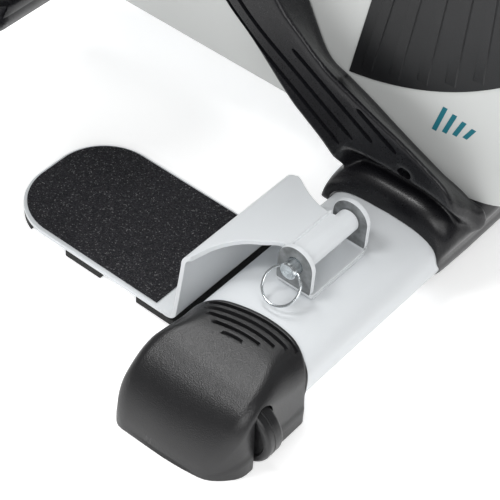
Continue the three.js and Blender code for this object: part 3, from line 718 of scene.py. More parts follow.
FEET = ("left_foot", "right_foot")
FOOT_OUTER = PLATE_LOW[0]
FOOT_INNER = PLATE_HIGH[0]
FOOT_TIP = PLATE_HIGH[1]
FOOT_CORNER = 38.0
SHEET = 3.0
PLATE_Z = PLATE_LOW[2]
PLATE_TOP = PLATE_Z + SHEET
WALL_Y = -115.0
SLEEVE_RADIUS = 7.2
SLEEVE_OUTER = -164.6


def foot_outline(start, inset):
    """Plan of the foot plate: square at the tube, round at the tip."""
    left, right, tip = FOOT_OUTER + inset, FOOT_INNER - inset, FOOT_TIP - inset
    radius = FOOT_CORNER - inset
    return [
        (left, start),
        (right, start),
        *arc(right - radius, tip - radius, radius, 0, 90, 28),
        *arc(left + radius, tip - radius, radius, 90, 180, 28),
    ]


def saddle_line():
    """Outer side of the curved sheet, as (y, z, normal y, normal z), from the plate to the sleeve."""
    seated = PLATE_TOP + 0.02
    line = [(WALL_Y + 17, seated), (WALL_Y + 12, seated), (WALL_Y + 6, seated)]
    line += arc(WALL_Y + 5, PLATE_TOP + 5, 5, 270, 188, 8)
    line += [(mix(-115.2, -119.6, t), mix(13.5, 55, t)) for t in spread(0, 1, 6)[1:]]
    line += arc(WALL_Y - 15, 57, 10.3, 6, 68, 14)
    crest_end = (PIN[1] + 1, PIN[2] + SLEEVE_RADIUS)
    start = np.array(line[-1])
    run = np.array(crest_end) - start
    lift = 1.6
    for t in spread(0, 1, 14)[1:]:
        y, z = start + run * t
        line.append((y, z + lift * math.sin(math.pi * t)))
    return line


def near_edge(y):
    """The sheet's outer edge in plan: straight, then a hollow quarter circle down to the sleeve."""
    reach, centre_x, centre_y = 34.0, -203.0, -161.0
    from_centre = min(reach, max(0.0, y - centre_y))
    curve = max(FOOT_OUTER, centre_x + math.sqrt(reach**2 - from_centre**2))
    tucked = 0.6 * smooth_step((y - WALL_Y - 6) / 6)
    return mix(curve, SLEEVE_OUTER, smooth_step((-151 - y) / 12)) + tucked


def far_edge(y):
    """The sheet's inner edge in plan: straight, then a long hollow curve down to the sleeve."""
    t = min(1.0, max(0.0, (-131.0 - y) / 37.0))
    tucked = 0.6 * smooth_step((y - WALL_Y - 6) / 6)
    return FOOT_INNER - 20.0 * (1 - (1 - t) ** 1.6) - tucked


def saddle_parts():
    line = saddle_line()
    columns = 26
    outer_rows, inner_rows = [], []
    for i, (y, z) in enumerate(line):
        run = direction_at(line, i)
        normal = (run[1], -run[0])
        xs = spread(near_edge(y), far_edge(y), columns)
        outer_rows.append([(x, y, z) for x in xs])
        inner_rows.append([(x, y - normal[0] * SHEET, z - normal[1] * SHEET) for x in xs])
    rows = [outer + list(reversed(inner)) for outer, inner in zip(outer_rows, inner_rows)]
    return grid(rows)


def sleeve_parts():
    low, high = -165.0, -118.4
    bore = 5.4
    profile = [
        (bore, low),
        (SLEEVE_RADIUS - 0.5, low),
        (SLEEVE_RADIUS, low + 0.5),
        (SLEEVE_RADIUS, high - 0.5),
        (SLEEVE_RADIUS - 0.5, high),
        (bore, high),
    ]
    return spin_x(profile, PIN[1], PIN[2], 56)


def weld_bead(start, end, radius, count):
    """A row of overlapping weld ripples between two points."""
    start, end = np.array(start, float), np.array(end, float)
    rows = []
    for i in range(count * 6 + 1):
        t = i / (count * 6)
        swell = radius * (0.82 + 0.18 * abs(math.sin(math.pi * t * count)))
        rows.append((tuple(start + (end - start) * t), swell))
    rings = []
    for (x, y, z), r in rows:
        rings.append([(x, y + a, z + b) for a, b in arc(0, 0, r, 0, 360, 12)[:-1]])
    return grid(rings)


def build_feet():
    outline = foot_outline(WALL_Y + 8, 0)
    plate = grid([at_z(outline, PLATE_Z), at_z(outline, PLATE_TOP)])
    mesh = make_mesh("foot_plate", *join_parts(plate, saddle_parts(), sleeve_parts()), 38)
    add_pair("foot_plate_shape", mesh, PAINT, "frame_paint", FEET, "foot_plate", bevel=0.5)
    weld_y, weld_z = min(saddle_line(), key=lambda point: abs(point[0] - PIN[1] - 8.5))
    bead = weld_bead((-163, weld_y, weld_z - 0.4), (-125, weld_y, weld_z - 0.4), 1.3, 11)
    add_pair("saddle_weld", make_mesh("weld", *bead, 60), PAINT, "frame_paint", FEET)
    bottom = GRIP_LOW[2]
    outline = foot_outline(GRIP_LOW[1], GRIP_LOW[0] - FOOT_OUTER + 0.4)
    sheet = make_mesh("grip", *grid([at_z(outline, bottom), at_z(outline, GRIP_HIGH[2])]))
    add_pair("grip_surface", sheet, GRIT, "grip_sheet", FEET, "grip_sheet", bevel=0.3)


def block_parts(y0, y1):
    """A rubber block under the plate, following its outline."""
    height = box_mm("tip_block_left")[1][2]
    inset, steps = 0.25, 12
    radius = FOOT_CORNER - inset
    tip = FOOT_TIP - inset

    def half_width(y):
        full = (FOOT_INNER - FOOT_OUTER) / 2 - inset
        into = y - (tip - radius)
        if into <= 0:
            return full
        return full - radius + math.sqrt(max(0.0, radius**2 - into**2))

    centre = (FOOT_OUTER + FOOT_INNER) / 2
    outline = [(centre + half_width(y), y) for y in spread(y0, y1, steps)]
    outline += [(centre - half_width(y), y) for y in spread(y1, y0, steps)]
    return grid([at_z(outline, 0.0), at_z(outline, height)])


def build_blocks():
    for name in ("tip", "middle", "heel"):
        low, high = box_mm(f"{name}_block_left")
        end = min(high[1], FOOT_TIP - 0.3)
        mesh = make_mesh(f"{name}_block_mesh", *block_parts(low[1], end), 30)
        add_pair(f"{name}_pad", mesh, RUBBER, "rubber", FEET, f"{name}_block", bevel=0.6)


build_feet()
build_blocks()


# ---------------------------------------------------------------- hinge brackets, pins and rings


def ear_parts(x0, x1, base):
    """A round-topped ear with the pin's hole through it."""
    radius, hole = 12.4, 5.3
    low = base - PIN[2]
    outer, inner = [], []
    for t in full_turn(72):
        c, s = math.cos(t), math.sin(t)
        reach = radius
        if s < 0:
            reach = min(radius / max(abs(c), 1e-6), low / s)
        outer.append((PIN[1] + reach * c, PIN[2] + reach * s))
        inner.append((PIN[1] + hole * c, PIN[2] + hole * s))
    return grid([at_x(outer, x0), at_x(outer, x1), at_x(inner, x1), at_x(inner, x0)], close_rows=True)


def build_brackets():
    low, high = box_mm("hinge_bracket_left")
    sheet, base = 3.5, low[2]
    rise = 2.6
    half = (high[1] - low[1]) / 2
    centre = (high[1] + low[1]) / 2
    bend = 4.0
    profile = [
        (low[0], base + bend),
        *[(low[0] + bend + a, base + bend + b) for a, b in arc(0, 0, bend, 180, 270, 8)],
        *[(high[0] - bend + a, base + bend + b) for a, b in arc(0, 0, bend, 270, 360, 8)],
        (high[0] - sheet, base + bend),
        *[(high[0] - bend + a, base + bend + b) for a, b in arc(0, 0, bend - rise, 0, -90, 4)],
        *[(low[0] + bend + a, base + bend + b) for a, b in arc(0, 0, bend - rise, 270, 180, 4)],
    ]
    strip = grid([[(x, y, z) for x, z in profile] for y in (centre - half, centre + half)])
    ears = [
        ear_parts(low[0], low[0] + sheet, base + bend),
        ear_parts(high[0] - sheet, high[0], base + bend),
    ]
    mesh = make_mesh("bracket", *join_parts(strip, *ears), 38)
    for obj in add_pair("hinge_ears", mesh, PAINT, "frame_paint", BASE, "hinge_bracket", bevel=0.5):
        # The ears' flat side faces take the dark grey second material: painted shade.
        obj.data.materials.append(EAR_PAINT_AND_SHADE)
        for face in obj.data.polygons:
            if abs(face.normal.x) > 0.95 and face.center.z > (base + bend) * MM:
                face.material_index = 1
    seam = weld_bead((low[0] + 3, centre - half, base), (high[0] - 3, centre - half, base), 0.8, 24)
    far_seam = weld_bead((low[0] + 3, centre + half, base), (high[0] - 3, centre + half, base), 0.8, 24)
    seams = make_mesh("seam", *join_parts(seam, far_seam), 60)
    add_pair("bracket_weld", seams, PAINT, "frame_paint", BASE)


def pin_parts():
    tip, out = box_mm("quick_pin_left")[1][0], PIN_OUT
    profile = [
        (0.001, out + 0.1),
        (4.9, out),
        (5.5, out + 0.5),
        (5.5, out + 1.7),
        (5.0, out + 2.1),
        (5.0, tip - 1.2),
        (3.8, tip),
        (0.001, tip),
    ]
    return spin_x(profile, PIN[1], PIN[2], 48)


def ring_parts():
    """A split ring: two close turns of wire, hung from the pin's cross hole."""
    hole_x, radius, wire, apart = -173.0, 11.85, 0.7, 0.38
    lean, first_turn = math.radians(45), 1.1
    drop = radius - 0.8
    turns, steps = 2, 120
    sideways = Vector((0, 1, 0))
    hang = Vector((-math.sin(lean), 0, -math.cos(lean)))
    centre = Vector((hole_x, PIN[1], PIN[2])) + hang * drop
    points = []
    for i in range(steps + 1):
        turn = 2 * math.pi * turns * i / steps + first_turn
        across = radius * math.sin(turn) + mix(-apart, apart, i / steps)
        points.append(centre + hang * (radius * math.cos(turn)) + sideways * across)
    return points, wire


def build_pins():
    pin = make_mesh("pin", *pin_parts())
    add_pair("pin", pin, ZINC, "zinc", ("left_pin", "right_pin"), "quick_pin")
    points, wire = ring_parts()
    ring = make_mesh("ring", *tube_along(points, wire, 16), 60)
    add_pair("split_ring", ring, ZINC, "zinc", ("left_ring", "right_ring"), "pin_ring")


build_brackets()
build_pins()


# ---------------------------------------------------------------- leg shrouds

LEG_X = box_mm("leg_shroud_left")[0][0]
LEG_ROOT = PANEL_X - 0.4
LOWER_EDGE = [
    (-18, 168), (-43, 138), (-66, 120), (-96, 93), (-109, 84), (-123, 75), (-134, 66), (-139, 58), (-143, 40),
]
RIDGE = [
    (-46, 216), (-60, 190), (-82, 159), (-102, 144), (-122, 130), (-141, 122), (-160, 115),
    (-180, 108), (-199, 100), (-214, 92), (-221, 78), (-221, 60), (-212, 44),
]
PANEL_EDGE = [
    (-50, 205), (-68, 178), (-87, 145), (-105, 115), (-122, 107), (-141, 99), (-160, 90),
    (-180, 81), (-199, 73), (-216, 67), (-228, 65), (-230, 52), (-218, 40),
]
HUB_RADIUS = 42.0
GROOVES = [
    [(-2, 190), (-35, 150), (-68, 123), (-104, 101), (-138, 81)],
    [(2, 205), (-30, 170), (-64, 138), (-106, 113), (-147, 90)],
    [(-97, 131), (-130, 113), (-161, 96)],
    [(-147, 114), (-178, 98)],
]
SCREW = centre_mm("leg_screw_left")
SCREW_HOLE = 3.9
SHAFT_HOLE = 11
GROOVE_HALF = 1.7
LEG_GROOVE_DEPTH = 3.0
COLLAR_RISE = 15.5
HOLLOW_HEIGHT = 18.0
HOLLOW_DEPTH = 15.0


def leg_layer(lower, upper, hub_radius):
    """A closed outline in (y, z): lower edge up to the hub, round it, and down the upper edge."""
    hub = [(CRANK[1] + a, CRANK[2] + b) for a, b in arc(0, 0, hub_radius, -62, 160, 40)]
    return resampled(list(reversed(lower)), 60) + hub + resampled(upper, 80)


def arm_parts():
    """The arm as a loft: outer face, a rounded ridge, and a slope down to the housing."""

    def moved(points, dy, dz):
        return [(y + dy, z + dz) for y, z in points]

    def between(t):
        return [
            (mix(a[0], b[0], t), mix(a[1], b[1], t)) for a, b in zip(RIDGE, PANEL_EDGE)
        ]

    stack = [
        (LEG_ROOT, moved(LOWER_EDGE, 6, -3), PANEL_EDGE, HUB_RADIUS + 3),
        (LEG_ROOT - 8, moved(LOWER_EDGE, 4.5, -2.2), between(0.84), HUB_RADIUS + 3),
        (LEG_X + 12, moved(LOWER_EDGE, 2.4, -1.2), between(0.42), HUB_RADIUS + 2.5),
        (LEG_X + 5, moved(LOWER_EDGE, 0.8, -0.4), between(0.16), HUB_RADIUS + 1.2),
        (LEG_X + 1.6, moved(LOWER_EDGE, -0.4, 0.2), between(0.02), HUB_RADIUS - 0.6),
        (LEG_X + 0.2, moved(LOWER_EDGE, -2.2, 1.6), moved(RIDGE, 1.5, -3.5), HUB_RADIUS - 3.5),
    ]
    return grid([at_x(leg_layer(lower, upper, hub), x) for x, lower, upper, hub in stack])


def collar_ring(x, swell):
    """A section of the sleeve: thick over the tube, thin under it, and open low on the user's side."""
    open_from, open_below = FRONT_Y + 30, 32.0
    ring = []
    for y, z in flat_oval(0, 0):
        over = max(0.0, z) / TUBE_HALF_HEIGHT
        flare = mix(0.2, 0.13, over) if y > 0 else 0.03 * swell + 0.15 * swell * smooth_step(over / 0.5)
        place_y = FRONT_Y + y * (1 + flare)
        place_z = TUBE_Z + z * 1.12 + COLLAR_RISE * swell * over**0.8
        if place_y > open_from:
            place_z = max(open_below, place_z)
        set_back = 7.0 * smooth_step((33 - place_z) / 14) * smooth_step((FRONT_Y - 15 - place_y) / 15)
        ring.append((min(-0.4, x + set_back), place_y, place_z))
    return ring


def collar_parts():
    """The sleeve of the shroud round the base tube, with a rolled brow at its outer end."""
    lip = [(-80.0, 0.0), (-79.5, 0.2), (-78.4, 0.42), (-76.4, 0.64), (-73.4, 0.82), (-69.5, 0.94), (-64, 1.0)]
    return grid([collar_ring(x, swell) for x, swell in lip + [(-50.5, 1.3), (-0.4, 1.3)]])


def above_collar(y, z):
    """Roughly how far a point stands outside the collar's outline."""
    across = abs(y - FRONT_Y) / (TUBE_HALF_WIDTH * 1.18)
    up = max(0.0, z - TUBE_Z) / (TUBE_HALF_HEIGHT * 1.12 + COLLAR_RISE)
    return ((across**3 + up**3) ** (1 / 3) - 1) * (TUBE_HALF_HEIGHT * 1.12 + COLLAR_RISE)


def hollow_foot(mesh):
    """Draws the arm's face in where it comes down behind the collar's brow."""
    for vert in mesh.vertices:
        x, y, z = (c / MM for c in vert.co)
        share = 1 - smooth_step(above_collar(y, z) / HOLLOW_HEIGHT)
        share *= smooth_step((-132 - y) / 18) * min(1.0, max(0.0, (LEG_X + 26 - x) / 22))
        vert.co.x += HOLLOW_DEPTH * share * MM


def joined_meshes(name, *meshes):
    """One mesh with the surfaces of several."""
    parts = []
    for mesh in meshes:
        verts = [tuple(c / MM for c in vert.co) for vert in mesh.vertices]
        parts.append((verts, [tuple(face.vertices) for face in mesh.polygons]))
    return make_mesh(name, *join_parts(*parts))


def remeshed(mesh, voxel, passes):
    """One even skin round everything in the mesh, smoothed so that inside corners become fillets."""
    obj = make_object("remesh_shape", mesh, LEG)
    shell = obj.modifiers.new("skin", "REMESH")
    shell.mode = "VOXEL"
    shell.voxel_size = voxel * MM
    soft = obj.modifiers.new("soften", "SMOOTH")
    soft.factor = 0.5
    soft.iterations = passes
    bpy.context.view_layer.update()
    graph = bpy.context.evaluated_depsgraph_get()
    out = bpy.data.meshes.new_from_object(obj.evaluated_get(graph))
    bpy.data.objects.remove(obj)
    return out


def dish_screw_hole(mesh):
    """Sinks a shallow dish round the screw."""
    radius, depth = 6.5, 0.7
    for vert in mesh.vertices:
        x, y, z = (c / MM for c in vert.co)
        away = math.hypot((y - SCREW[1]) / 1.25, z - SCREW[2])
        if x < LEG_X + 6 and away < radius:
            vert.co.x += depth * smooth_step((radius - away) / 3.0) * MM


def groove_tool(line):
    """A slot along one of the lengthwise grooves: narrow, with round ends and leaning walls."""
    points = resampled(line, 40)
    length = sum(math.dist(a, b) for a, b in zip(points, points[1:]))
    rows, gone = [], 0.0
    for i, (y, z) in enumerate(points):
        run = direction_at(points, i)
        side = (-run[1], run[0])
        gone += math.dist(points[i - 1], (y, z)) if i else 0.0
        end = min(1.0, 0.25 + min(gone, length - gone) / 4.0)
        half = GROOVE_HALF * math.sqrt(end)
        floor = LEG_X + 0.5 + LEG_GROOVE_DEPTH * smooth_step(end)
        corners = [(LEG_X - 2, -1.25), (LEG_X - 2, 1.25), (floor, 0.6), (floor, -0.6)]
        rows.append([(x, y + side[0] * half * k, z + side[1] * half * k) for x, k in corners])
    return tool_object(grid(rows))


def box_rows(low, high):
    """The two end rings of a box, for grid."""
    corners = [(low[0], low[2]), (high[0], low[2]), (high[0], high[2]), (low[0], high[2])]
    return [[(x, y, z) for x, z in corners] for y in (low[1], high[1])]


def build_shrouds():
    arm = remeshed(make_mesh("arm_skin", *arm_parts()), 1.5, 4)
    hollow_foot(arm)
    collar = make_mesh("collar_skin", *collar_parts())
    skin = remeshed(joined_meshes("shroud_skin", arm, collar), 1.1, 7)
    dish_screw_hole(skin)
    holder = make_object("shroud_shape", skin, LEG)
    outside, past_middle = LEG_X - 15, 5
    tube_hole = [at_x(flat_oval(FRONT_Y + 0.5, TUBE_Z, 0.8), x) for x in (outside, past_middle)]
    shaft = [at_x(arc(CRANK[1], CRANK[2], SHAFT_HOLE, 0, 360, 40)[:-1], x) for x in (outside, -20)]
    ellipse = [(SCREW[1] + 1.25 * a, SCREW[2] + b) for a, b in arc(0, 0, SCREW_HOLE, 0, 360, 40)[:-1]]
    screw_hole = [at_x(ellipse, x) for x in (outside, -66)]
    housing_space = box_rows((LEG_ROOT, -320, UNDERSIDE - 0.3), (past_middle, 220, 400))
    spine_space = box_rows((-15.5, -167, 29), (past_middle, 0, 75))
    tools = [tool_object(grid(rows)) for rows in (tube_hole, shaft, screw_hole, housing_space, spine_space)]
    cut_object(holder, tools + [groove_tool(line) for line in GROOVES])
    shape = holder.data
    bpy.data.objects.remove(holder)
    clean(shape, 50)
    add_pair("leg_cover", shape, LEG, "leg_plastic", BASE, "leg_shroud")


def build_screws():
    """A pan head with a round recess in its middle, at the bottom of the shroud's hole."""
    low, high = box_mm("leg_screw_left")
    crown = [(0.001, 2.9), (1.2, 2.9), (1.7, 0.9), (2.9, 1.1), (3.5, 1.8), (3.8, 2.8)]
    head = [(radius, low[0] + up) for radius, up in crown]
    head += [(3.8, high[0]), (0.001, high[0])]
    mesh = make_mesh("screw", *spin_x(head, SCREW[1], SCREW[2], 32))
    add_pair("cover_screw", mesh, ZINC, "zinc", BASE, "leg_screw")


build_shrouds()
build_screws()


# ---------------------------------------------------------------- housing and ribbed panels

CONSOLE_SLOPE = 48.2
HOUSING_EDGE = 16.0
HOUSING_LOW_EDGE = 1.8
PANEL_FACE = box_mm("ribbed_panel_left")[0][0]
RIB_APEX = (-203.0, 570.0)
RIB_PITCH = 2.36
RIB_WIDTH = 0.98
FIRST_RIB = -8.9
RIB_HEIGHT = 1.0
PANEL_CHORD = ((-119.9, 109.6), (-169.0, 422.0))
PANEL_LOW_CENTRE, PANEL_LOW_RADIUS = (-87, 317), 210
PANEL_HIGH_CENTRE, PANEL_HIGH_RADIUS = (-80, 279.5), 168
PANEL_STEP_Z = 208
PANEL_FRONT = -232


def changing_arc(y, z, radius, angles, insets, steps):
    """Points on an arc whose radius shrinks by a first inset at its start and a last one at its end."""
    points = []
    for t in spread(0, 1, steps + 1):
        angle = math.radians(mix(*angles, t))
        reach = radius - mix(*insets, t)
        points.append((y + reach * math.cos(angle), z + reach * math.sin(angle)))
    return points


def housing_outline(inset, low_inset):
    """Side outline of the housing in (y, z), drawn inward by one inset above and another below."""
    return [
        *changing_arc(110, UNDERSIDE + 40, 40, (-90, 0), (low_inset, inset), 14),
        *arc(118, 325, 30 - inset, 0, 90 - CONSOLE_SLOPE, 8),
        *arc(8, 434, 40 - inset, 90 - CONSOLE_SLOPE, 92, 10),
        *arc(*PANEL_HIGH_CENTRE, 194.5 - inset, 94, 176, 48),
        *changing_arc(-214, UNDERSIDE + 61, 61, (182, 270), (inset, low_inset), 20),
    ]


def build_housing():
    rows = []
    for t in spread(0, 90, 12):
        share = 1 - math.sin(math.radians(t))
        back = HOUSING_EDGE * (1 - math.cos(math.radians(t)))
        outline = housing_outline(HOUSING_EDGE * share, HOUSING_LOW_EDGE * share)
        rows.append(at_x(outline, PANEL_X + back))
    for x, inset in ((-1.3, 0.0), (-0.6, 0.5), (-0.2, 1.0)):
        rows.append(at_x(housing_outline(inset, inset), x))
    mesh = make_mesh("housing", *grid(rows), 30)
    add_pair("housing_cover", mesh, SHELL, "housing_shell", BASE, "housing")


def panel_outline():
    return [
        *arc(*PANEL_LOW_CENTRE, PANEL_LOW_RADIUS, 261, 226, 40),
        *arc(*PANEL_HIGH_CENTRE, PANEL_HIGH_RADIUS, 205, 122, 60),
    ]


def inside_panel(y, z, margin):
    """True where a place on the panel is at least a margin from every edge."""
    lower = math.dist((y, z), PANEL_LOW_CENTRE) < PANEL_LOW_RADIUS - margin
    upper = math.dist((y, z), PANEL_HIGH_CENTRE) < PANEL_HIGH_RADIUS - margin or z < PANEL_STEP_Z
    front = y > PANEL_FRONT + margin
    (y0, z0), (y1, z1) = PANEL_CHORD
    along = math.hypot(y1 - y0, z1 - z0)
    chord = ((y1 - y0) * (z - z0) - (z1 - z0) * (y - y0)) / along > margin
    return lower and upper and front and chord


def rib_parts(angle):
    """One raised rib on a ray from the apex, with sloping flanks, cut where it leaves the panel."""
    edge_margin, shortest = 4.5, 4
    direction = -np.array([math.sin(math.radians(angle)), math.cos(math.radians(angle))])
    reaches = []
    for r in np.arange(60.0, 520.0, 1.0):
        if inside_panel(*(np.array(RIB_APEX) + direction * r), edge_margin):
            reaches.append(r)
    if len(reaches) < shortest:
        return None
    rows = []
    across = np.array([-direction[1], direction[0]])
    for r in spread(reaches[0], reaches[-1], 24):
        half = r * math.radians(RIB_WIDTH) / 2
        middle = np.array(RIB_APEX) + direction * r
        from_end = min(r - reaches[0], reaches[-1] - r)
        rise = RIB_HEIGHT * smooth_step(from_end / 4 + 0.2)
        flank = [(half + 0.9, -0.2), (half, 0.0), (half - 0.5, rise)]
        profile = [(-off, up) for off, up in flank] + list(reversed(flank))
        rows.append([(PANEL_FACE + 0.9 - up, *(middle + across * off)) for off, up in profile])
    return grid(rows)


def build_panels():
    outline = panel_outline()
    plate = grid([at_x(outline, PANEL_X - 0.25), at_x(outline, PANEL_FACE + 0.9)])
    mesh = make_mesh("panel", *plate, 30)
    add_pair("panel_plate", mesh, RIBBED, "black_abs", BASE, "ribbed_panel", bevel=0.35)
    ribs = []
    for k in range(-2, 16):
        rib = rib_parts(FIRST_RIB + RIB_PITCH * k)
        if rib:
            ribs.append(rib)
    add_pair("panel_ribs", make_mesh("ribs", *join_parts(*ribs), 25), RIBBED, "black_abs", BASE)


def build_decoration():
    """Plain slanted bars in teal, low on each side of the housing."""
    bars = []
    for k in range(4):
        length = 20.0 - 3.5 * k
        y, z = -182.0 - 7.0 * k, 101.0 + 2.0 * k
        lean, width = 5.0, 3.2
        bar = [(y, z), (y - width, z), (y - width - lean, z + length), (y - lean, z + length)]
        bars.append(grid([at_x(bar, PANEL_X + 0.1), at_x(bar, PANEL_X - 0.12)]))
    mesh = make_mesh("bars", *join_parts(*bars), 30)
    add_pair("teal_bars", mesh, TEAL, "housing_shell", BASE)


build_housing()
build_panels()
build_decoration()


# ---------------------------------------------------------------- pedals and straps

PEDALS = ("left_pedal", "right_pedal")
PEDAL_TILT = math.radians(23)
PEDAL_X = centre_mm("pedal_left")[0]


def on_pedal(parts, side):
    """Moves parts from the pedal's own frame (spindle at the origin, toe to -Y) to its place."""
    pivot = PEDAL_LEFT if side == "left" else PEDAL_RIGHT
    c, s = math.cos(PEDAL_TILT), math.sin(PEDAL_TILT)
    verts, faces = parts
    out = []
    for x, y, z in verts:
        out.append((PEDAL_X + x, pivot[1] + y * c - z * s, pivot[2] + y * s + z * c))
    return out, faces


def add_on_pedals(name, parts, material, slot, node="", bevel=0.0, smooth_angle=35):
    for side, body in zip(SIDES, PEDALS):
        label = f"{name}_{side}"
        mesh = make_mesh(label, *on_pedal(parts, side), smooth_angle)
        if side == "right":
            mesh = mirror_mesh(mesh, label)
        obj = make_object(label, mesh, material, bevel)
        nodes = [f"{node}_{side}"] if node else []
        finish_piece(obj, body, slot, *nodes)


def pedal_parts():
    """A shell platform: a flat deck inside a raised rim that is open at the heel."""
    half, length, thick, rim = 48.0, 56.0, 10.0, 9.0
    outer = rounded_rectangle(-half, -length, half, length, 18)
    deck = grid([
        at_z(rounded_rectangle(-half + 2.5, -length + 2.5, half - 2.5, length - 2.5, 15.5), -thick),
        at_z(rounded_rectangle(-half + 0.7, -length + 0.7, half - 0.7, length - 0.7, 17.3), -thick + 0.8),
        at_z(outer, -thick + 2.5),
        at_z(outer, thick - 1),
        at_z(rounded_rectangle(-half + 0.8, -length + 0.8, half - 0.8, length - 0.8, 17.2), thick),
    ])
    wall_line = [
        (-half + 3, length - 14),
        *arc(-half + 18, -length + 18, 15, 180, 270, 14),
        *arc(half - 18, -length + 18, 15, 270, 360, 14),
        (half - 3, length - 14),
    ]
    dense = resampled(wall_line, 90)
    rows = []
    for i, (x, y) in enumerate(dense):
        run = direction_at(dense, i)
        side = (run[1], -run[0])
        fade = smooth_step(min(i, len(dense) - 1 - i) / 8 + 0.15)
        top = thick + rim * fade
        flank = [(3.0, thick - 2), (3.0, top - 1.4), (2.2, top - 0.3)]
        profile = flank + [(0.0, top)] + [(-a, b) for a, b in reversed(flank)]
        rows.append([(x + side[0] * a, y + side[1] * a, b) for a, b in profile])
    return join_parts(deck, grid(rows))


def deck_ribs():
    """Anti-slip bars across the deck."""
    bars = []
    for k in range(8):
        y = -38.0 + 11.0 * k
        profile = rounded_rectangle(-34, y - 1.6, 34, y + 1.6, 1.5, 4)
        bars.append(grid([at_z(profile, 9.6), at_z(profile, 11.2)]))
    return join_parts(*bars)


def strap_line(half_span, rise, foot):
    """The band's run in (x, z), up from one side, over, and down the other."""
    points = [(half_span, foot + (8 - foot) * t) for t in spread(0, 1, 5)[:-1]]
    power = 2 / 2.6
    for t in spread(0, math.pi, 57):
        c, s = math.cos(t), math.sin(t)
        points.append((half_span * math.copysign(abs(c) ** power, c), 8 + (rise - 8) * abs(s) ** power))
    points += [(-half_span, foot + (8 - foot) * t) for t in spread(1, 0, 5)[1:]]
    return points


def strap_parts(toe, width, sheet, half_span, rise):
    """The woven band, with rounded edges and a slight crown across its width."""
    line = strap_line(half_span, rise, -8.5)
    across = spread(0, 1, 15)
    section = []
    for face, ts in ((1, across), (-1, reversed(across))):
        for t in ts:
            crown = 0.6 * math.sin(math.pi * t)
            half = sheet / 2 * min(1.0, math.sqrt(max(0.0, 1 - (2 * t - 1) ** 8)) + 0.12)
            section.append((toe + width * t, crown + face * half))
    rows = []
    for i, (x, z) in enumerate(line):
        run = direction_at(line, i)
        rows.append([(x + run[1] * off, y, z - run[0] * off) for y, off in section])
    return grid(rows)


def stitch_parts(toe, width, half_span, rise):
    """Two rows of separate stitches along the band, near its edges."""
    line = resampled(strap_line(half_span + 1.75, rise + 1.75, -7), 120)
    stitches = []
    for y in (toe + 4.0, toe + width - 4.0):
        for i in range(2, 116, 2):
            (x0, z0), (x1, z1) = line[i], line[i + 1]
            x1, z1 = mix(x0, x1, 1.2), mix(z0, z1, 1.2)
            middle = (mix(x0, x1, 0.5), y, mix(z0, z1, 0.5))
            stitches.append(tube_along([(x0, y, z0), middle, (x1, y, z1)], 0.32, 6))
    return join_parts(*stitches)


def hook_patch_parts(toe, width, half_span, rise):
    """The overlapping end of the strap on top, held by hook tape."""
    line = [p for p in strap_line(half_span + 2.7, rise + 2.6, -8.5) if abs(p[0]) < 30]
    rows = []
    near, far, half = toe + 3, toe + width - 3, 0.9
    for x, z in line:
        rows.append([(x, near, z - half), (x, far, z - half), (x, far, z + half), (x, near, z + half)])
    return grid(rows)


def strap_tail_parts():
    """The loose end of the band, hanging below the toe of the platform."""
    near, far, half = -38.0, -8.0, 1.3
    rows = []
    for t in spread(0, 1, 14):
        y, z = -47.0 + 5.0 * t * t, -7.0 - 30.0 * t
        rows.append([(near, y - half, z), (far, y - half, z), (far, y + half, z), (near, y + half, z)])
    return grid(rows)


def build_pedals():
    toe, width, sheet, half_span, rise = -54.0, 46.0, 2.6, 51.0, 73.0
    add_on_pedals("pedal_platform", pedal_parts(), LEG, "black_abs", "pedal", smooth_angle=40)
    add_on_pedals("pedal_deck_bars", deck_ribs(), RUBBER, "rubber", bevel=0.4)
    band = strap_parts(toe, width, sheet, half_span, rise)
    add_on_pedals("foot_strap", band, WEBBING, "webbing", "pedal_strap", smooth_angle=50)
    stitches = stitch_parts(toe, width, half_span, rise)
    add_on_pedals("strap_stitches", stitches, THREAD, "webbing", smooth_angle=60)
    add_on_pedals("strap_tail", strap_tail_parts(), WEBBING, "webbing", bevel=0.5)
    overlap = hook_patch_parts(toe, width, half_span, rise - 1.4)
    add_on_pedals("strap_overlap", overlap, WEBBING, "webbing", bevel=0.5)


build_pedals()


# ---------------------------------------------------------------- carry handle


def build_handle():
    low, high = box_mm("carry_handle")
    radius = (high[0] - low[0]) / 2
    front, rear, top = low[1] + radius, high[1] - radius, high[2] - radius
    foot, bend = low[2], 36.0
    line = [(front, foot), (front, top - bend)]
    for t in spread(0, 1, 15)[1:]:
        line.append((front + bend * t * t, top - bend * (1 - t) ** 2))
    line.append((rear - bend, top))
    for t in spread(0, 1, 15)[1:]:
        line.append((rear - bend * (1 - t) ** 2, top - bend * t * t))
    line.append((rear, foot))
    tube = tube_along([(0, y, z) for y, z in line], radius, 36)
    add_single("handle_tube", tube, PAINT, "frame_paint", nodes=["carry_handle"], smooth_angle=50)
    rings = []
    count, pitch = 120, 6
    for i, y in enumerate(spread(front + bend + 4, rear - bend - 4, count)):
        fade = smooth_step(min(i, count - 1 - i) / 4)
        swell = 0.3 + 0.7 * fade * (0.5 + 0.5 * math.cos(2 * math.pi * i / pitch))
        rings.append([(a, y, b) for a, b in arc(0, top, radius + swell, 0, 360, 36)[:-1]])
    add_single("handle_grip", grid(rings), RUBBER, "rubber", smooth_angle=50)


build_handle()


# ---------------------------------------------------------------- console


CONSOLE_TURN = math.radians(-CONSOLE_SLOPE)


def console_frame():
    """The knob's place, and the directions down the sloping console and out of its face."""
    knob = centre_mm("resistance_knob")
    down = np.array([0.0, math.cos(CONSOLE_TURN), math.sin(CONSOLE_TURN)])
    out = np.array([0.0, -math.sin(CONSOLE_TURN), math.cos(CONSOLE_TURN)])
    return knob, down, out


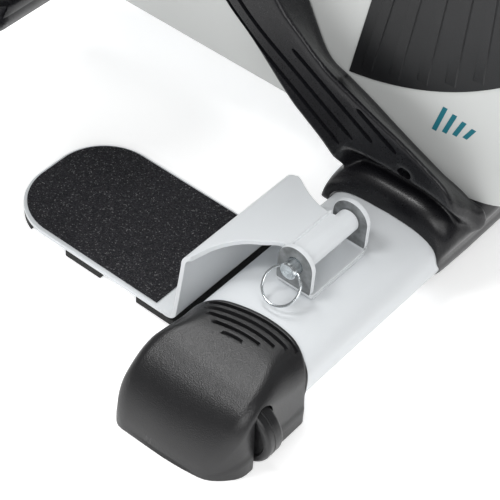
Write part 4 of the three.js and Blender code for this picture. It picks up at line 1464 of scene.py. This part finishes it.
def build_console_marks():
    knob, down, out = console_frame()
    across = np.array([1.0, 0.0, 0.0])
    corners = np.array([v.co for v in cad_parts["console"].data.vertices]) / MM
    face = max(float(np.dot(c, out)) for c in corners)
    centre = knob + out * (face - float(np.dot(knob, out)))

    def on_face(a, b, lift):
        return tuple(centre + across * a + down * b + out * lift)

    ticks = []
    for k in range(11):
        angle = math.radians(-225 + 27 * k)
        c, s = math.cos(angle), math.sin(angle)
        wide = 0.6
        inner, outer = 19.5, 22.5 + 0.12 * k
        corners_2d = [(inner, -wide), (outer, -wide), (outer, wide), (inner, wide)]
        ring = [(c * r - s * w, s * r + c * w) for r, w in corners_2d]
        ticks.append(grid([[on_face(a, b, 0.0) for a, b in ring], [on_face(a, b, 0.15) for a, b in ring]]))
    add_single("knob_scale", join_parts(*ticks), MARKING, "black_abs")

    glass = np.array([v.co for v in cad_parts["display_window"].data.vertices]) / MM
    glass_centre = glass.mean(0)
    glass_centre = glass_centre + out * (face - float(np.dot(glass_centre, out)))
    segments = []
    for digit in range(4):
        base = -19.0 + 12.0 * digit + (2.0 if digit > 1 else -2.0)
        for a0, b0, a1, b1 in (
            (0.8, -9.2, 6.2, -8.0), (0.8, -0.6, 6.2, 0.6), (0.8, 8.0, 6.2, 9.2),
            (0, -8.0, 1.1, -0.9), (5.9, -8.0, 7.0, -0.9), (0, 0.9, 1.1, 8.0), (5.9, 0.9, 7.0, 8.0),
        ):
            quad = [(base + a0, b0), (base + a1, b0), (base + a1, b1), (base + a0, b1)]
            rows = []
            for lift in (0.0, 0.08):
                rows.append([tuple(glass_centre + across * a + down * b + out * lift) for a, b in quad])
            segments.append(grid(rows))
    add_single("display_digits", join_parts(*segments), SEGMENTS, "display_glass")


def build_knob():
    """A fluted knob with a flat cap, and a white pointer line."""
    knob, down, out = console_frame()
    across = np.array([1.0, 0.0, 0.0])
    corners = np.array([v.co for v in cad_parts["resistance_knob"].data.vertices]) / MM
    heights = corners @ out
    low, high = heights.min(), heights.max()
    base = high - 17.0
    centre = knob - out * float(np.dot(knob, out))
    rings = []
    shaft = [(0.2, low), (3.9, low), (3.9, base)]
    skirt = [(16.2, base), (16.6, base + 0.4), (16.6, base + 12.5)]
    crown = [(15.9, base + 14.6), (14.2, base + 16.3), (12.0, high), (0.2, high)]
    for radius, level in shaft + skirt + crown:
        ring = []
        for t in full_turn(120):
            flute = 0.9 * max(0.0, math.cos(12 * t)) ** 0.5 if radius > 13 else 0.0
            r = radius - flute
            ring.append(tuple(centre + across * (r * math.cos(t)) + down * (r * math.sin(t)) + out * level))
        rings.append(ring)
    nodes = ["resistance_knob"]
    add_single("fluted_knob", grid(rings), ABS, "black_abs", "knob_body", nodes, smooth_angle=40)
    pointer = [(-0.8, -12.5), (0.8, -12.5), (0.8, -4.0), (-0.8, -4.0)]
    rows = []
    for level in (high - 0.1, high + 0.12):
        rows.append([tuple(centre + across * a + down * b + out * level) for a, b in pointer])
    add_single("knob_pointer", grid(rows), MARKING, "black_abs", "knob_body")


build_console_marks()
build_knob()


# ---------------------------------------------------------------- CAD pieces that keep their shape

KEPT = {
    "spine_beam": PAINT,
    "inner_frame": STEEL,
    "outer_bearing": STEEL,
    "inner_bearing": STEEL,
    "crank_shaft": STEEL,
    "drive_pulley": ABS,
    "flywheel": IRON,
    "drive_belt": RUBBER,
    "brake_arm": STEEL,
    "crank_arm_left": STEEL,
    "crank_arm_right": STEEL,
    "pedal_spindle_left": ZINC,
    "pedal_spindle_right": ZINC,
    "console": ABS,
    "display_window": GLASS,
    "mode_button": RUBBER,
    "start_button": RUBBER,
}


def dress_kept_nodes():
    for node, material in KEPT.items():
        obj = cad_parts[node]
        obj.data.materials.clear()
        obj.data.materials.append(material)
        obj.data.shade_smooth()
        obj.data.set_sharp_from_angle(angle=math.radians(32))
        edges = obj.modifiers.new("edges", "BEVEL")
        edges.width = 0.7 * MM
        edges.segments = 2
        edges.angle_limit = math.radians(50)
        edges.harden_normals = True


dress_kept_nodes()


# ---------------------------------------------------------------- floor, light and camera


def pale_floor_material():
    material, nodes, links, shader = new_material("studio_floor")
    coords = object_coords(nodes)
    broad = noise_node(nodes, links, coords, 0.8)
    stops = [(0.3, (0.93, 0.93, 0.93)), (0.7, (0.95, 0.95, 0.95))]
    links.new(ramp_node(nodes, links, broad, stops), shader.inputs["Base Color"])
    shader.inputs["Roughness"].default_value = 0.95
    shader.inputs["Emission Color"].default_value = (1.0, 1.0, 1.0, 1.0)
    shader.inputs["Emission Strength"].default_value = 0.42
    return material


def build_floor():
    size = 8000.0
    corners = [(-size, -size, 0), (size, -size, 0), (size, size, 0), (-size, size, 0)]
    mesh = bpy.data.meshes.new("floor")
    mesh.from_pydata([tuple(c * MM for c in p) for p in corners], [], [(0, 1, 2, 3)])
    floor = make_object("floor", mesh, pale_floor_material())
    floor.location.z = -0.0004


def area_light(name, place, target, size, power):
    data = bpy.data.lights.new(name, "AREA")
    data.energy = power
    data.size = size
    light = bpy.data.objects.new(name, data)
    bpy.context.collection.objects.link(light)
    light.location = place
    light.rotation_euler = (Vector(target) - Vector(place)).to_track_quat("-Z", "Y").to_euler()
    return light


def build_lights():
    world = bpy.data.worlds.new("studio")
    bpy.context.scene.world = world
    world.use_nodes = True
    background = world.node_tree.nodes["Background"]
    background.inputs["Color"].default_value = (1.0, 1.0, 1.0, 1.0)
    background.inputs["Strength"].default_value = 0.24
    middle = (-0.15, -0.15, 0.1)
    area_light("overhead", (-0.8, 0.25, 1.45), middle, 0.4, 8.0)
    area_light("rear", (0.35, 0.4, 1.6), middle, 0.9, 20.0)
    area_light("front", (-0.75, -1.25, 1.05), middle, 0.9, 7.0)
    area_light("side", (-1.4, -0.75, 1.1), middle, 0.6, 6.5)


CAMERA_PLACE = (-0.7802, -0.5849, 0.8145)
CAMERA_RIGHT = (0.63362, -0.77108, 0.06286)
CAMERA_UP = (0.51924, 0.48409, 0.70431)
CAMERA_LENS = 133.1
CAMERA_SENSOR = 36.0


def build_camera():
    data = bpy.data.cameras.new("camera")
    data.lens = CAMERA_LENS
    data.sensor_width = CAMERA_SENSOR
    data.clip_start = 0.01
    data.clip_end = 100.0
    camera = bpy.data.objects.new("camera", data)
    bpy.context.collection.objects.link(camera)
    right, up = Vector(CAMERA_RIGHT), Vector(CAMERA_UP)
    turn = Matrix((right, up, right.cross(up))).transposed().to_4x4()
    camera.matrix_world = Matrix.Translation(CAMERA_PLACE) @ turn
    bpy.context.scene.camera = camera


build_floor()
build_lights()
build_camera()
bpy.context.scene.view_settings.view_transform = "Standard"
